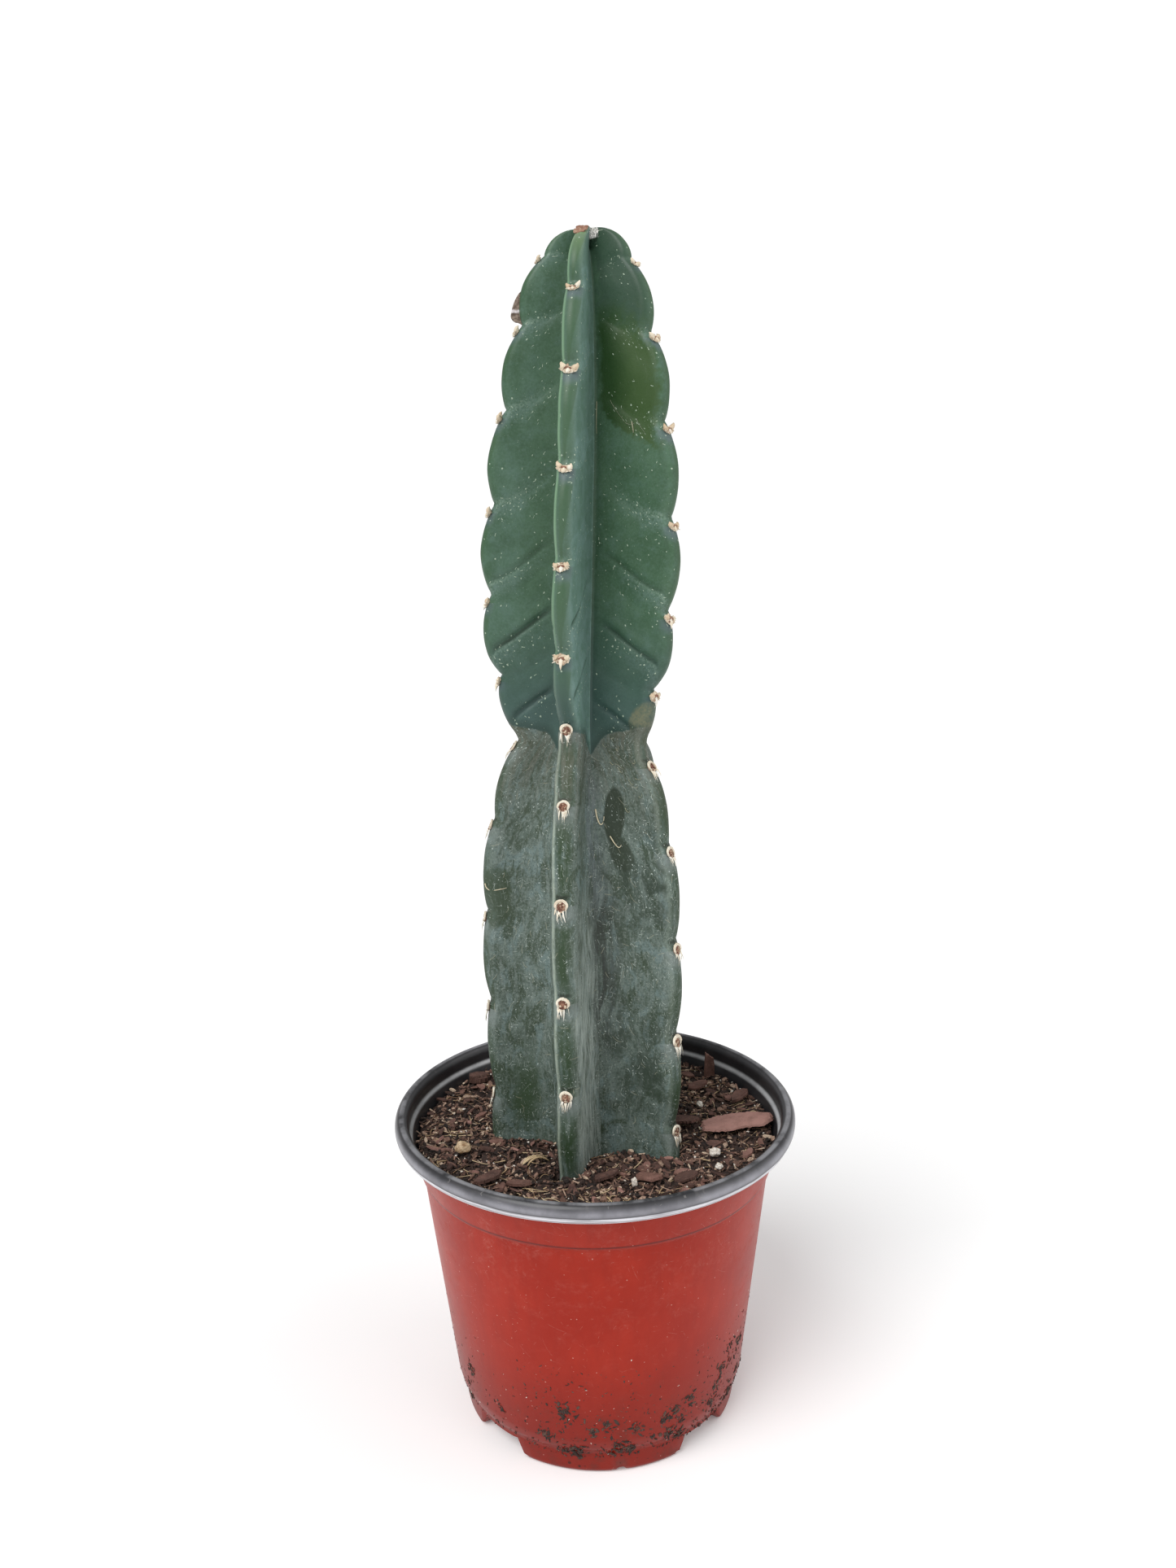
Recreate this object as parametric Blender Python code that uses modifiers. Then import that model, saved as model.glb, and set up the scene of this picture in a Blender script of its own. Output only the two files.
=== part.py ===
"""Columnar cactus with five ribs, growing in a round nursery pot.

The origin is the centre of the pot's foot, on the surface that it stands on. +Z is up.
An azimuth is measured in degrees from -Y, the front, towards +X.
Lengths are in metres.
"""

import math
import random

import bmesh
import bpy
from mathutils import Matrix, Vector

MM = 0.001
GAP = 0.35 * MM  # clear space left between pieces that touch

# Pot. Its radii are those of the black inner face, which the lip turns outwards.
POT_HEIGHT = 118 * MM
LIP_RADIUS = 76 * MM
LIP_WIDTH = 5.2 * MM
LIP_DEPTH = 7 * MM
WALL_THICKNESS = 1.2 * MM
LEDGE_Z = 111.2 * MM
LEDGE_RADIUS = 69.6 * MM
SHOULDER_Z = 96.6 * MM
SHOULDER_RADIUS = 64.7 * MM
CORNER_Z = 14.5 * MM
CORNER_RADIUS = 54.8 * MM
FLOOR_Z = 8.2 * MM
FOOT_OUTER_RADIUS = 52 * MM
FOOT_INNER_RADIUS = 47 * MM
POT_STEPS = 48
ARCH_COUNT = 4
ARCH_AZIMUTH = 45.0
ARCH_HALF_WIDTH = 14.0  # degrees
DRAIN_RADIUS = 4 * MM
DRAIN_RING_RADIUS = 46 * MM
CENTRE_DRAIN_RADIUS = 5 * MM
VENT_WIDTH = 5 * MM
VENT_HEIGHT = 1.9 * MM
VENT_AZIMUTH = 7.5

# Potting mix
MIX_Z = 105.6 * MM
MIX_EDGE_RISE = 2 * MM
MIX_LUMP = 0.4 * MM

# Stem. The growth index counts the front rib's areoles from the root up. Each station holds the
# growth index, crest height, crest radius, rise from crest to valley and valley radius, in mm.
STEM_STATIONS = (
    (-1.6, 54, 9, 0, 7), (-1.5, 57, 17, 0, 11), (-1.3, 64, 26, 0, 14.5), (-0.9, 76, 35, 0, 17),
    (-0.4, 90, 38, 1, 18), (0, 101, 38.6, 2, 18), (1, 136, 39.1, 6, 18.5),
    (2, 171, 39.8, 7, 18.5), (3, 206, 39.1, 8, 17.6), (3.5, 223.5, 36.8, 8, 16),
    (4, 239.5, 33.4, 7, 13.6), (4.4, 250, 30, 6, 11.8), (4.7, 258.5, 26.6, 5, 11),
    (5, 265, 28.2, 5.5, 10.8), (5.5, 277.5, 32.5, 7, 10.6), (6, 290, 35.7, 10, 10.5),
    (7, 320, 37.7, 12, 10.2), (8, 351, 35.7, 11, 9.7), (9, 382, 31, 8, 8.8),
    (10, 408, 24.2, 3, 6.8), (10.5, 419, 19.5, -1, 5), (11, 426.6, 13.2, -4, 3.4),
    (11.4, 430, 8.2, -6, 2.2), (11.7, 430.5, 4.6, -5.5, 1.4),
)
APEX_Z = 427 * MM
RIB_AZIMUTHS = (-14, 54, 127, 200, 273)
VALLEY_AZIMUTHS = (9, 92, 164, 236, 308.5)  # one after each rib
RIB_SHIFT = 0.4  # growth index from one rib's areoles to the next rib's
NOTCH_OFFSET = 0.1  # growth index from an areole up to the notch above it
NECK_INDEX = 4.7
NOTCH_SHARPNESS = 0.75  # 1 makes a notch a plain V, less makes its bottom narrower
LOWER_NOTCH, UPPER_NOTCH = 2.2 * MM, 3.9 * MM
LOWER_CAP, UPPER_CAP = 4.5 * MM, 3.4 * MM  # radius that rounds a rib's crest
LOWER_ROUND, UPPER_ROUND = 0.6, 0.25  # 0 is a V-shaped valley and 1 a U-shaped one
LOWER_SWELL, UPPER_SWELL = 0.3 * MM, 1.2 * MM  # how far a flank bulges between its notches
CREST_HANDLE, VALLEY_HANDLE = 0.4, 0.35  # a flank's two curve handles, as shares of its length
AXIS_BASE = Vector((-0.8 * MM, 2 * MM, 0))
AXIS_BEND = Vector((4.6 * MM, -0.4 * MM, 0))  # how far the axis bends between two heights
BEND_START, BEND_END = 240 * MM, 405 * MM
CAP_SHARE = 0.25
SIDE_SHARES = (CAP_SHARE / 2, CAP_SHARE, 0.62)  # samples from a crest to a valley
ROOT_ROWS = (-1.6, -1.5, -1.3, -0.95, -0.6)
ROW_STEP = 0.2
FIRST_ROW = -0.3
ROW_COUNT = 61
SOCKET_TOP = 0.5
SOCKET_TOP_Z = 125 * MM
SOCKET_GAP = 0.5 * MM
ROOT_Z = 52 * MM

# Loose pieces on the mix: name, x, y, length, width, thickness in mm, heading and tilt in degrees
BARK_CHIPS = (
    ("bark_chip_large", 54.5, -2.3, 26, 11, 2.6, 4, 5),
    ("bark_chip_beside", 34.5, 2.6, 13, 7, 2.2, -12, 8),
    ("bark_chip_right_back", 58.5, 19.5, 9, 5.5, 2.4, 55, 10),
    ("bark_chip_back", 43, 33, 8, 5, 2.4, 20, 6),
    ("bark_chip_front_left", -38, -38.5, 10, 5, 2.2, 30, 8),
    ("bark_chip_front_middle", -27, -41, 9, 4.5, 2, -18, 7),
    ("bark_chip_front", 4, -36, 9, 4.5, 2.2, 22, 9),
    ("bark_chip_front_right", 19, -39.5, 9, 5, 2.2, -30, 8),
    ("bark_chip_right", 32, -39, 8, 5, 2.4, 12, 10),
    ("bark_lump", -48.2, 41.3, 7, 6, 4.5, 40, 0),
)
UPRIGHT_CHIP = ("bark_chip_upright", 48.5, 42)
UPRIGHT_SIZE = (5.4 * MM, 3 * MM, 14 * MM)
UPRIGHT_DEPTH = 3.5 * MM
GRAINS = (
    ("perlite_grain_right", 42, 17, 1.6), ("perlite_grain_front", 43.5, -23, 1.9),
    ("perlite_grain_front_right", 44, -33.5, 1.5), ("perlite_grain_middle", 13.3, -42.5, 1.4),
)
STONE = ("grit_stone", -49.3, -17, 3)


def look(name, color, roughness):
    """Return a Principled material of one linear colour."""
    material = bpy.data.materials.new(name)
    material.use_nodes = True
    shader = material.node_tree.nodes["Principled BSDF"]
    shader.inputs["Base Color"].default_value = (*color, 1)
    shader.inputs["Roughness"].default_value = roughness
    shader.inputs["Metallic"].default_value = 0
    return material


def add_object(bm, name, collection, material=None):
    """Turn a bmesh into one named, smooth-shaded object."""
    mesh = bpy.data.meshes.new(name)
    bm.to_mesh(mesh)
    bm.free()
    mesh.shade_smooth()
    mesh.set_sharp_from_angle(angle=math.radians(40))
    obj = bpy.data.objects.new(name, mesh)
    collection.objects.link(obj)
    if material:
        mesh.materials.append(material)
    return obj


def cut(target, bm, name, cutters):
    """Cut a bmesh solid out of an object with an exact Boolean."""
    cutter = add_object(bm, name, cutters)
    cutter.hide_render = True
    cutter.display_type = "WIRE"
    boolean = target.modifiers.new(name, "BOOLEAN")
    boolean.operation = "DIFFERENCE"
    boolean.solver = "EXACT"
    boolean.object = cutter


def direction(azimuth):
    """Unit vector away from the axis at an azimuth in degrees."""
    angle = math.radians(azimuth)
    return Vector((math.sin(angle), -math.cos(angle), 0))


def smooth_step(low, high, value):
    """Rise smoothly from 0 at low to 1 at high."""
    share = min(1, max(0, (value - low) / (high - low)))
    return share * share * (3 - 2 * share)


def turned(profile):
    """Spin (radius, height) points about Z into a bmesh surface."""
    bm = bmesh.new()
    verts = [bm.verts.new((0, -radius, height)) for radius, height in profile]
    edges = [bm.edges.new(pair) for pair in zip(verts, verts[1:])]
    bmesh.ops.spin(bm, geom=verts + edges, axis=(0, 0, 1), cent=(0, 0, 0), steps=POT_STEPS,
                   angle=math.tau, use_merge=True)
    bmesh.ops.remove_doubles(bm, verts=bm.verts, dist=0.01 * MM)
    return bm


# Pot ----------------------------------------------------------------------------------------

def pot_profile():
    """Black inner face, from the end of the lip's curl to the middle of the floor."""
    half_width, half_depth = LIP_WIDTH / 2, LIP_DEPTH / 2
    points = []
    for degrees in (-85, -42, 0, 45, 90, 135, 180):
        angle = math.radians(degrees)
        points.append((LIP_RADIUS - half_width + half_width * math.cos(angle),
                       POT_HEIGHT - half_depth + half_depth * math.sin(angle)))
    points += [
        (LIP_RADIUS - LIP_WIDTH, LEDGE_Z + 1 * MM),
        (LEDGE_RADIUS, LEDGE_Z),
        (SHOULDER_RADIUS + 0.8 * MM, SHOULDER_Z + 1 * MM),
        (SHOULDER_RADIUS, SHOULDER_Z - 0.8 * MM),
        (CORNER_RADIUS, CORNER_Z),
        (CORNER_RADIUS - 0.8 * MM, CORNER_Z - 2.3 * MM),
        (CORNER_RADIUS - 1.9 * MM, CORNER_Z - 4.1 * MM),
        (FOOT_OUTER_RADIUS + 0.1 * MM, FLOOR_Z + 0.5 * MM),
        (FOOT_OUTER_RADIUS - 0.2 * MM, WALL_THICKNESS + 0.8 * MM),
        (FOOT_OUTER_RADIUS - 0.9 * MM, WALL_THICKNESS),
        (FOOT_INNER_RADIUS + 1 * MM, WALL_THICKNESS),
        (FOOT_INNER_RADIUS + 0.2 * MM, WALL_THICKNESS + 0.8 * MM),
        (FOOT_INNER_RADIUS - 0.4 * MM, FLOOR_Z - 1 * MM),
        (FOOT_INNER_RADIUS - 1.4 * MM, FLOOR_Z),
        (0, FLOOR_Z),
    ]
    return points


def raise_arches(bm):
    """Lift the foot's channel to floor level at each drainage arch."""
    pitch = 360 / ARCH_COUNT
    for vert in bm.verts:
        azimuth = math.degrees(math.atan2(vert.co.x, -vert.co.y))
        offset = (azimuth - ARCH_AZIMUTH + pitch / 2) % pitch - pitch / 2
        if abs(offset) < ARCH_HALF_WIDTH and vert.co.z < FLOOR_Z:
            vert.co.z = FLOOR_Z


def drain_cutter():
    """One round hole at each arch and one in the middle of the floor."""
    bm = bmesh.new()
    places = [(direction(ARCH_AZIMUTH + 90 * index) * DRAIN_RING_RADIUS, DRAIN_RADIUS)
              for index in range(ARCH_COUNT)]
    places.append((Vector((0, 0, 0)), CENTRE_DRAIN_RADIUS))
    for place, radius in places:
        hole = bmesh.ops.create_cone(bm, cap_ends=True, segments=16, radius1=radius, radius2=radius,
                                     depth=5 * MM)
        bmesh.ops.translate(bm, verts=hole["verts"], vec=place + Vector((0, 0, FLOOR_Z)))
    return bm


def vent_cutter():
    """A small slot through the foot of each of the four lobes."""
    bm = bmesh.new()
    for index in range(ARCH_COUNT):
        slot = bmesh.ops.create_cube(bm, size=1)["verts"]
        bmesh.ops.scale(bm, verts=slot, vec=(VENT_WIDTH, 4 * MM, 2 * VENT_HEIGHT))
        bmesh.ops.translate(bm, verts=slot, vec=(0, -FOOT_OUTER_RADIUS - 0.6 * MM, 0))
        turn = Matrix.Rotation(math.radians(VENT_AZIMUTH + 90 * index), 3, "Z")
        bmesh.ops.rotate(bm, verts=slot, cent=(0, 0, 0), matrix=turn)
    return bm


def make_pot(parts, cutters):
    """Thin-walled pot with a rolled lip, a foot ring in four lobes and drainage holes."""
    bm = turned(pot_profile())
    raise_arches(bm)
    floor = min(bm.faces, key=lambda face: face.calc_center_median().xy.length)
    if floor.normal.z < 0:
        bmesh.ops.reverse_faces(bm, faces=bm.faces)
    pot = add_object(bm, "pot", parts, look("pot_red", (0.36, 0.045, 0.022), 0.45))
    wall = pot.modifiers.new("wall", "SOLIDIFY")
    wall.thickness = WALL_THICKNESS
    wall.offset = -1
    wall.use_even_offset = True
    cut(pot, drain_cutter(), "drain_cutter", cutters)
    cut(pot, vent_cutter(), "vent_cutter", cutters)


# Stem ---------------------------------------------------------------------------------------

def station(index):
    """Crest height, crest radius, rise and valley radius at a growth index, in metres."""
    rows = STEM_STATIONS
    place = 0
    while place < len(rows) - 2 and rows[place + 1][0] <= index:
        place += 1
    before, start, end = rows[max(place - 1, 0)], rows[place], rows[place + 1]
    after = rows[min(place + 2, len(rows) - 1)]
    width = end[0] - start[0]
    share = (index - start[0]) / width
    values = []
    for column in range(1, 5):
        leave = (end[column] - before[column]) / (end[0] - before[0]) * width
        arrive = (after[column] - start[column]) / (after[0] - start[0]) * width
        rest = end[column] - start[column]
        curve = (leave + arrive - 2 * rest) * share ** 3 + (3 * rest - 2 * leave - arrive) * share ** 2
        values.append((start[column] + leave * share + curve) * MM)
    return values


def lobe(index, rib):
    """0 in a rib's notches and 1 where it bulges between them."""
    return abs(math.sin(math.pi * (index - RIB_SHIFT * rib - NOTCH_OFFSET))) ** NOTCH_SHARPNESS


def side_point(index, rib, side, share, grow=0.0):
    """Point on one flank of a rib: share 0 is its crest and 1 the valley beside it."""
    crest_z, crest_r, rise, valley_r = station(index)
    upper = smooth_step(NECK_INDEX - 0.5, NECK_INDEX + 0.9, index)
    above_root = smooth_step(-0.9, 0.2, index)
    tip = smooth_step(9.5, 11.7, index)
    bulge = lobe(index, rib)
    notch = (LOWER_NOTCH + (UPPER_NOTCH - LOWER_NOTCH) * upper) * above_root * (1 - 0.7 * tip)
    crest_r += grow - notch * (1 - bulge)
    cap = (LOWER_CAP + (UPPER_CAP - LOWER_CAP) * upper) * (1 - 0.5 * tip)
    cap = min(cap, 0.4 * crest_r) + grow
    along = direction(RIB_AZIMUTHS[rib])
    across = direction(RIB_AZIMUTHS[rib] + 90 * side)
    valley_azimuth = VALLEY_AZIMUTHS[rib if side > 0 else rib - 1]
    valley = direction(valley_azimuth) * (valley_r + grow)
    centre = along * (crest_r - cap)
    if share <= CAP_SHARE:
        turn = math.radians(90 * share / CAP_SHARE)
        place = centre + (along * math.cos(turn) + across * math.sin(turn)) * cap
        climb = 0
    else:
        step = (share - CAP_SHARE) / (1 - CAP_SHARE)
        start = centre + across * cap
        reach = (valley - start).length
        roundness = LOWER_ROUND + (UPPER_ROUND - LOWER_ROUND) * upper
        around = direction(valley_azimuth - 90 * side)
        leave = (start - valley).normalized() * (1 - roundness) + around * roundness
        swell = LOWER_SWELL + (UPPER_SWELL - LOWER_SWELL) * upper
        swell = across * swell * bulge * above_root * (1 - tip)
        first = start - along * CREST_HANDLE * reach + swell
        second = valley + leave * VALLEY_HANDLE * reach + swell * 0.5
        rest = 1 - step
        place = (start * rest ** 3 + first * 3 * rest ** 2 * step + second * 3 * rest * step ** 2
                 + valley * step ** 3)
        climb = step * step * (3 - 2 * step)
    place.z = crest_z + rise * climb
    return place + axis_offset(place.z)


def axis_offset(height):
    """How far the stem's bent axis stands from the pot's axis at a height."""
    return AXIS_BASE + AXIS_BEND * smooth_step(BEND_START, BEND_END, height)


def axis_point(height):
    """Point on the stem's axis at a height."""
    return axis_offset(height) + Vector((0, 0, height))


def stem_row(index, grow=0.0):
    """Points around the stem at a growth index, in order of azimuth."""
    points = []
    for rib in range(len(RIB_AZIMUTHS)):
        following = (rib + 1) % len(RIB_AZIMUTHS)
        points += [side_point(index, rib, 1, share, grow) for share in (0, *SIDE_SHARES, 1)]
        points += [side_point(index, following, -1, share, grow) for share in reversed(SIDE_SHARES)]
    return points


def loft(rows, bottom, top):
    """Skin a list of closed rows and close both ends at a point."""
    bm = bmesh.new()
    rings = [[bm.verts.new(point) for point in row] for row in rows]
    count = len(rings[0])
    for lower, upper in zip(rings, rings[1:]):
        for here in range(count):
            there = (here + 1) % count
            bm.faces.new((lower[here], lower[there], upper[there], upper[here]))
    for ring, point in ((rings[0], bottom), (rings[-1], top)):
        pole = bm.verts.new(point)
        for here in range(count):
            bm.faces.new((ring[here], ring[(here + 1) % count], pole))
    bmesh.ops.recalc_face_normals(bm, faces=bm.faces)
    return bm


def make_stem(parts):
    """The whole stem, grown in one piece from the root crown to the tip."""
    indices = list(ROOT_ROWS) + [FIRST_ROW + ROW_STEP * row for row in range(ROW_COUNT)]
    rows = [stem_row(index) for index in indices]
    bm = loft(rows, axis_point(ROOT_Z), axis_point(APEX_Z))
    add_object(bm, "cactus_stem", parts, look("cactus_skin", (0.04, 0.10, 0.05), 0.5))


def socket_cutter():
    """The buried end of the stem, a gap larger all round, up to above the mix."""
    indices = list(ROOT_ROWS)
    while indices[-1] < SOCKET_TOP:
        indices.append(round(max(FIRST_ROW, indices[-1] + ROW_STEP), 1))
    rows = [stem_row(index, SOCKET_GAP) for index in indices]
    for row in rows[:3]:
        for point in row:
            point.z -= SOCKET_GAP
    return loft(rows, axis_point(ROOT_Z - SOCKET_GAP), axis_point(SOCKET_TOP_Z))


# Potting mix and what lies on it ------------------------------------------------------------

def mix_height(x, y):
    """Height of the mix's top: higher at the wall, with low lumps."""
    radius = math.hypot(x, y)
    rise = MIX_EDGE_RISE * smooth_step(46 * MM, 67 * MM, radius)
    lumps = math.sin(x * 310 + 1.1) * math.cos(y * 270 - 0.4) * MIX_LUMP
    return MIX_Z + rise + lumps


def make_mix(parts, cutters):
    """Mix that fills the pot, with a socket for the stem and a pocket for the upright chip."""
    inset = GAP + 0.1 * MM
    flare = (LEDGE_RADIUS - SHOULDER_RADIUS) / (LEDGE_Z - SHOULDER_Z)
    edge_z = MIX_Z + MIX_EDGE_RISE
    profile = [
        (0, FLOOR_Z + GAP),
        (FOOT_OUTER_RADIUS - 1 * MM, FLOOR_Z + GAP),
        (CORNER_RADIUS - 2.4 * MM, CORNER_Z - 4 * MM),
        (CORNER_RADIUS - 1.3 * MM, CORNER_Z - 2.2 * MM),
        (CORNER_RADIUS - inset, CORNER_Z),
        (SHOULDER_RADIUS - inset, SHOULDER_Z - 0.8 * MM),
        (SHOULDER_RADIUS + 0.6 * MM - inset, SHOULDER_Z + 1.1 * MM),
        (LEDGE_RADIUS - flare * (LEDGE_Z - edge_z) - inset, edge_z),
    ]
    profile += [(radius * MM, edge_z) for radius in (64, 58, 50, 42, 32, 0)]
    bm = turned(profile)
    for vert in bm.verts:
        if vert.co.z > MIX_Z:
            vert.co.z = mix_height(vert.co.x, vert.co.y)
    bmesh.ops.recalc_face_normals(bm, faces=bm.faces)
    mix = add_object(bm, "potting_mix", parts, look("potting_mix", (0.045, 0.025, 0.016), 0.9))
    cut(mix, socket_cutter(), "stem_socket_cutter", cutters)

    name, x, y = UPRIGHT_CHIP
    pocket = bmesh.new()
    bmesh.ops.create_cube(pocket, size=1)
    width, thickness, height = UPRIGHT_SIZE
    bmesh.ops.scale(pocket, verts=pocket.verts, vec=(width + 2 * GAP, thickness + 2 * GAP, height))
    base = mix_height(x * MM, y * MM) - UPRIGHT_DEPTH - GAP
    bmesh.ops.translate(pocket, verts=pocket.verts, vec=(x * MM, y * MM, base + height / 2))
    cut(mix, pocket, name + "_pocket_cutter", cutters)


def rest_height(x, y, reach):
    """Lowest base height that keeps a piece of a given reach clear of the mix."""
    around = [(x + reach * math.cos(turn), y + reach * math.sin(turn))
              for turn in [math.radians(30 * step) for step in range(12)]]
    return max(mix_height(*place) for place in [(x, y), *around]) + GAP


def make_chip(entry, parts, material):
    """Flat flake of bark with a narrower end and worn edges, lying on the mix."""
    name, x, y, length, width, thickness, heading, tilt = entry
    bm = bmesh.new()
    verts = bmesh.ops.create_cube(bm, size=1)["verts"]
    bmesh.ops.scale(bm, verts=verts, vec=(length * MM, width * MM, thickness * MM))
    for vert in verts:
        if vert.co.x > 0:
            vert.co.y *= 0.55
            vert.co.z *= 0.7
    bmesh.ops.bevel(bm, geom=list(bm.edges), offset=0.22 * thickness * MM, segments=1, profile=0.5,
                    affect="EDGES", material=-1)
    turn = Matrix.Rotation(math.radians(heading), 3, "Z") @ Matrix.Rotation(math.radians(-tilt), 3, "Y")
    bmesh.ops.rotate(bm, verts=bm.verts, cent=(0, 0, 0), matrix=turn)
    lowest = min(vert.co.z for vert in bm.verts)
    base = rest_height(x * MM, y * MM, length / 2 * MM)
    bmesh.ops.translate(bm, verts=bm.verts, vec=(x * MM, y * MM, base - lowest))
    add_object(bm, name, parts, material)


def make_upright_chip(parts, material):
    """Splinter of bark that stands planted in the mix."""
    name, x, y = UPRIGHT_CHIP
    bm = bmesh.new()
    verts = bmesh.ops.create_cube(bm, size=1)["verts"]
    bmesh.ops.scale(bm, verts=verts, vec=UPRIGHT_SIZE)
    for vert in verts:
        if vert.co.z > 0:
            vert.co.x *= 0.7
            vert.co.y *= 0.6
    bmesh.ops.bevel(bm, geom=list(bm.edges), offset=0.6 * MM, segments=1, profile=0.5,
                    affect="EDGES", material=-1)
    base = mix_height(x * MM, y * MM) - UPRIGHT_DEPTH
    bmesh.ops.translate(bm, verts=bm.verts, vec=(x * MM, y * MM, base + UPRIGHT_SIZE[2] / 2))
    add_object(bm, name, parts, material)


def make_grain(entry, parts, material, flatness, seed):
    """Rounded grain with an uneven surface, lying on the mix."""
    name, x, y, radius = entry
    rng = random.Random(seed)
    bm = bmesh.new()
    bmesh.ops.create_icosphere(bm, subdivisions=1, radius=radius * MM)
    for vert in bm.verts:
        vert.co *= rng.uniform(0.88, 1.08)
        vert.co.z *= flatness
    lowest = min(vert.co.z for vert in bm.verts)
    base = rest_height(x * MM, y * MM, radius * MM)
    bmesh.ops.translate(bm, verts=bm.verts, vec=(x * MM, y * MM, base - lowest))
    add_object(bm, name, parts, material)


def build():
    """Clear the scene and make every piece."""
    for obj in list(bpy.data.objects):
        bpy.data.objects.remove(obj, do_unlink=True)
    parts = bpy.data.collections.new("potted_tall_cactus")
    cutters = bpy.data.collections.new("cutters")
    for collection in (parts, cutters):
        bpy.context.scene.collection.children.link(collection)
    make_pot(parts, cutters)
    make_mix(parts, cutters)
    make_stem(parts)
    bark = look("bark", (0.09, 0.03, 0.018), 0.75)
    for entry in BARK_CHIPS:
        make_chip(entry, parts, bark)
    make_upright_chip(parts, bark)
    perlite = look("perlite", (0.75, 0.72, 0.66), 0.85)
    for seed, entry in enumerate(GRAINS):
        make_grain(entry, parts, perlite, 0.8, seed)
    make_grain(STONE, parts, look("grit_stone", (0.45, 0.33, 0.22), 0.6), 0.7, len(GRAINS))


build()
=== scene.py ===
"""Looks of a potted tall cactus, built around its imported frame.

Lengths are in metres and +Z is up. An azimuth is measured in degrees from -Y, the front, towards +X.
A place on the stem is a rib, a share from its crest (0) to the valley beside it (1), and a growth
index, which counts the front rib's areoles from the root up.
"""

import math
import random

import bmesh
import bpy
from mathutils import Matrix, Vector, noise


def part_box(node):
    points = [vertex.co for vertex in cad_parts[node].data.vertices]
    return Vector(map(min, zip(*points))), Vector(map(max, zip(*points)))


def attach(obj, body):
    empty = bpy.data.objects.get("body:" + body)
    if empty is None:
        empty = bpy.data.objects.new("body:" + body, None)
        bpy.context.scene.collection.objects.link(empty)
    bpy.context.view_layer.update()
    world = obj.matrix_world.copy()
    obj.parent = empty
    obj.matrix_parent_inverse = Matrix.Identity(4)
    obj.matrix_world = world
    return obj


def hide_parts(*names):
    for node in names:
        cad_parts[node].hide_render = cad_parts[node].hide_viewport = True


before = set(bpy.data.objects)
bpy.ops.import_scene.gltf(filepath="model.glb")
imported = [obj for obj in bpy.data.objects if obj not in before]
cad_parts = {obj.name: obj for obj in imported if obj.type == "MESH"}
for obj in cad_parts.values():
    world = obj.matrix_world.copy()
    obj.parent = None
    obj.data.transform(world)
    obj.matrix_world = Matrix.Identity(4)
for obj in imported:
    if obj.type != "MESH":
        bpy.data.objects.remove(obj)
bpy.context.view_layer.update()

MM = 0.001

# Stem: growth index, then crest height, crest radius, rise from crest to valley, valley radius in mm
STEM_STATIONS = (
    (-1.6, 54, 9, 0, 7), (-1.5, 57, 17, 0, 11), (-1.3, 64, 26, 0, 14.5), (-0.9, 76, 35, 0, 17),
    (-0.4, 90, 38, 1, 18), (0, 101, 38.6, 2, 18), (1, 136, 39.1, 6, 18.5),
    (2, 171, 39.8, 7, 18.5), (3, 206, 39.1, 8, 17.6), (3.5, 223.5, 36.8, 8, 16),
    (4, 239.5, 33.4, 7, 13.6), (4.4, 250, 30, 6, 11.8), (4.7, 258.5, 26.6, 5, 11),
    (5, 265, 28.2, 5.5, 10.8), (5.5, 277.5, 32.5, 7, 10.6), (6, 290, 35.7, 10, 10.5),
    (7, 320, 37.7, 12, 10.2), (8, 351, 35.7, 11, 9.7), (9, 382, 31, 8, 8.8),
    (10, 408, 24.2, 3, 6.8), (10.5, 419, 19.5, -1, 5), (11, 426.6, 13.2, -4, 3.4),
    (11.4, 430, 8.2, -6, 2.2), (11.7, 430.5, 4.6, -5.5, 1.4),
)
RIB_AZIMUTHS = (-14, 54, 127, 200, 273)
VALLEY_AZIMUTHS = (9, 92, 164, 236, 308.5)
RIB_COUNT = len(RIB_AZIMUTHS)
RIB_SHIFT = 0.4
NOTCH_OFFSET = 0.1
NOTCH_SHARPNESS = 0.75
NECK_INDEX = 4.7
LOWER_NOTCH, UPPER_NOTCH = 2.2 * MM, 3.9 * MM
LOWER_CAP, UPPER_CAP = 4.5 * MM, 3.4 * MM
LOWER_ROUND, UPPER_ROUND = 0.6, 0.25
LOWER_SWELL, UPPER_SWELL = 0.3 * MM, 1.2 * MM
CREST_HANDLE, VALLEY_HANDLE = 0.4, 0.35
CAP_SHARE = 0.25
AXIS_BASE = Vector((-0.8 * MM, 2 * MM, 0))
AXIS_BEND = Vector((4.6 * MM, -0.4 * MM, 0))
BEND_START, BEND_END = 240 * MM, 405 * MM
FIRST_INDEX, LAST_INDEX = STEM_STATIONS[0][0], STEM_STATIONS[-1][0]
FLANK_STEPS = 24
ROW_STEPS = 372
ROOT_STEPS = 8  # rows that lie below the mix
ROOT_TOP = -0.3
SKIN_MAP_PITCH = 0.2  # metres between two ribs on the skin map
SKIN_SWAY = 0.35 * MM
TIP_LIMIT, WOOL_LIMIT = 430.45 * MM, 430.2 * MM

# Creases that climb inward from the notches: climb and bend, and growth indexes between which they fade
CREASE_CLIMB, LOW_CREASE_CLIMB, CREASE_BEND = 0.1, 0.46, 0.2
CREASE_CLIMB_FADE = (NECK_INDEX + 2.9, NECK_INDEX + 1.0)
CREASE_DEPTH_FADE = (NECK_INDEX + 2.8, NECK_INDEX + 1.4)

# Hairs below a lower areole: ranges of length and of radius in mm
THICK_BEARD = ((1.6, 4.0), (0.2, 0.34))
THIN_BEARD = ((1.5, 4.8), (0.07, 0.13))

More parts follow.
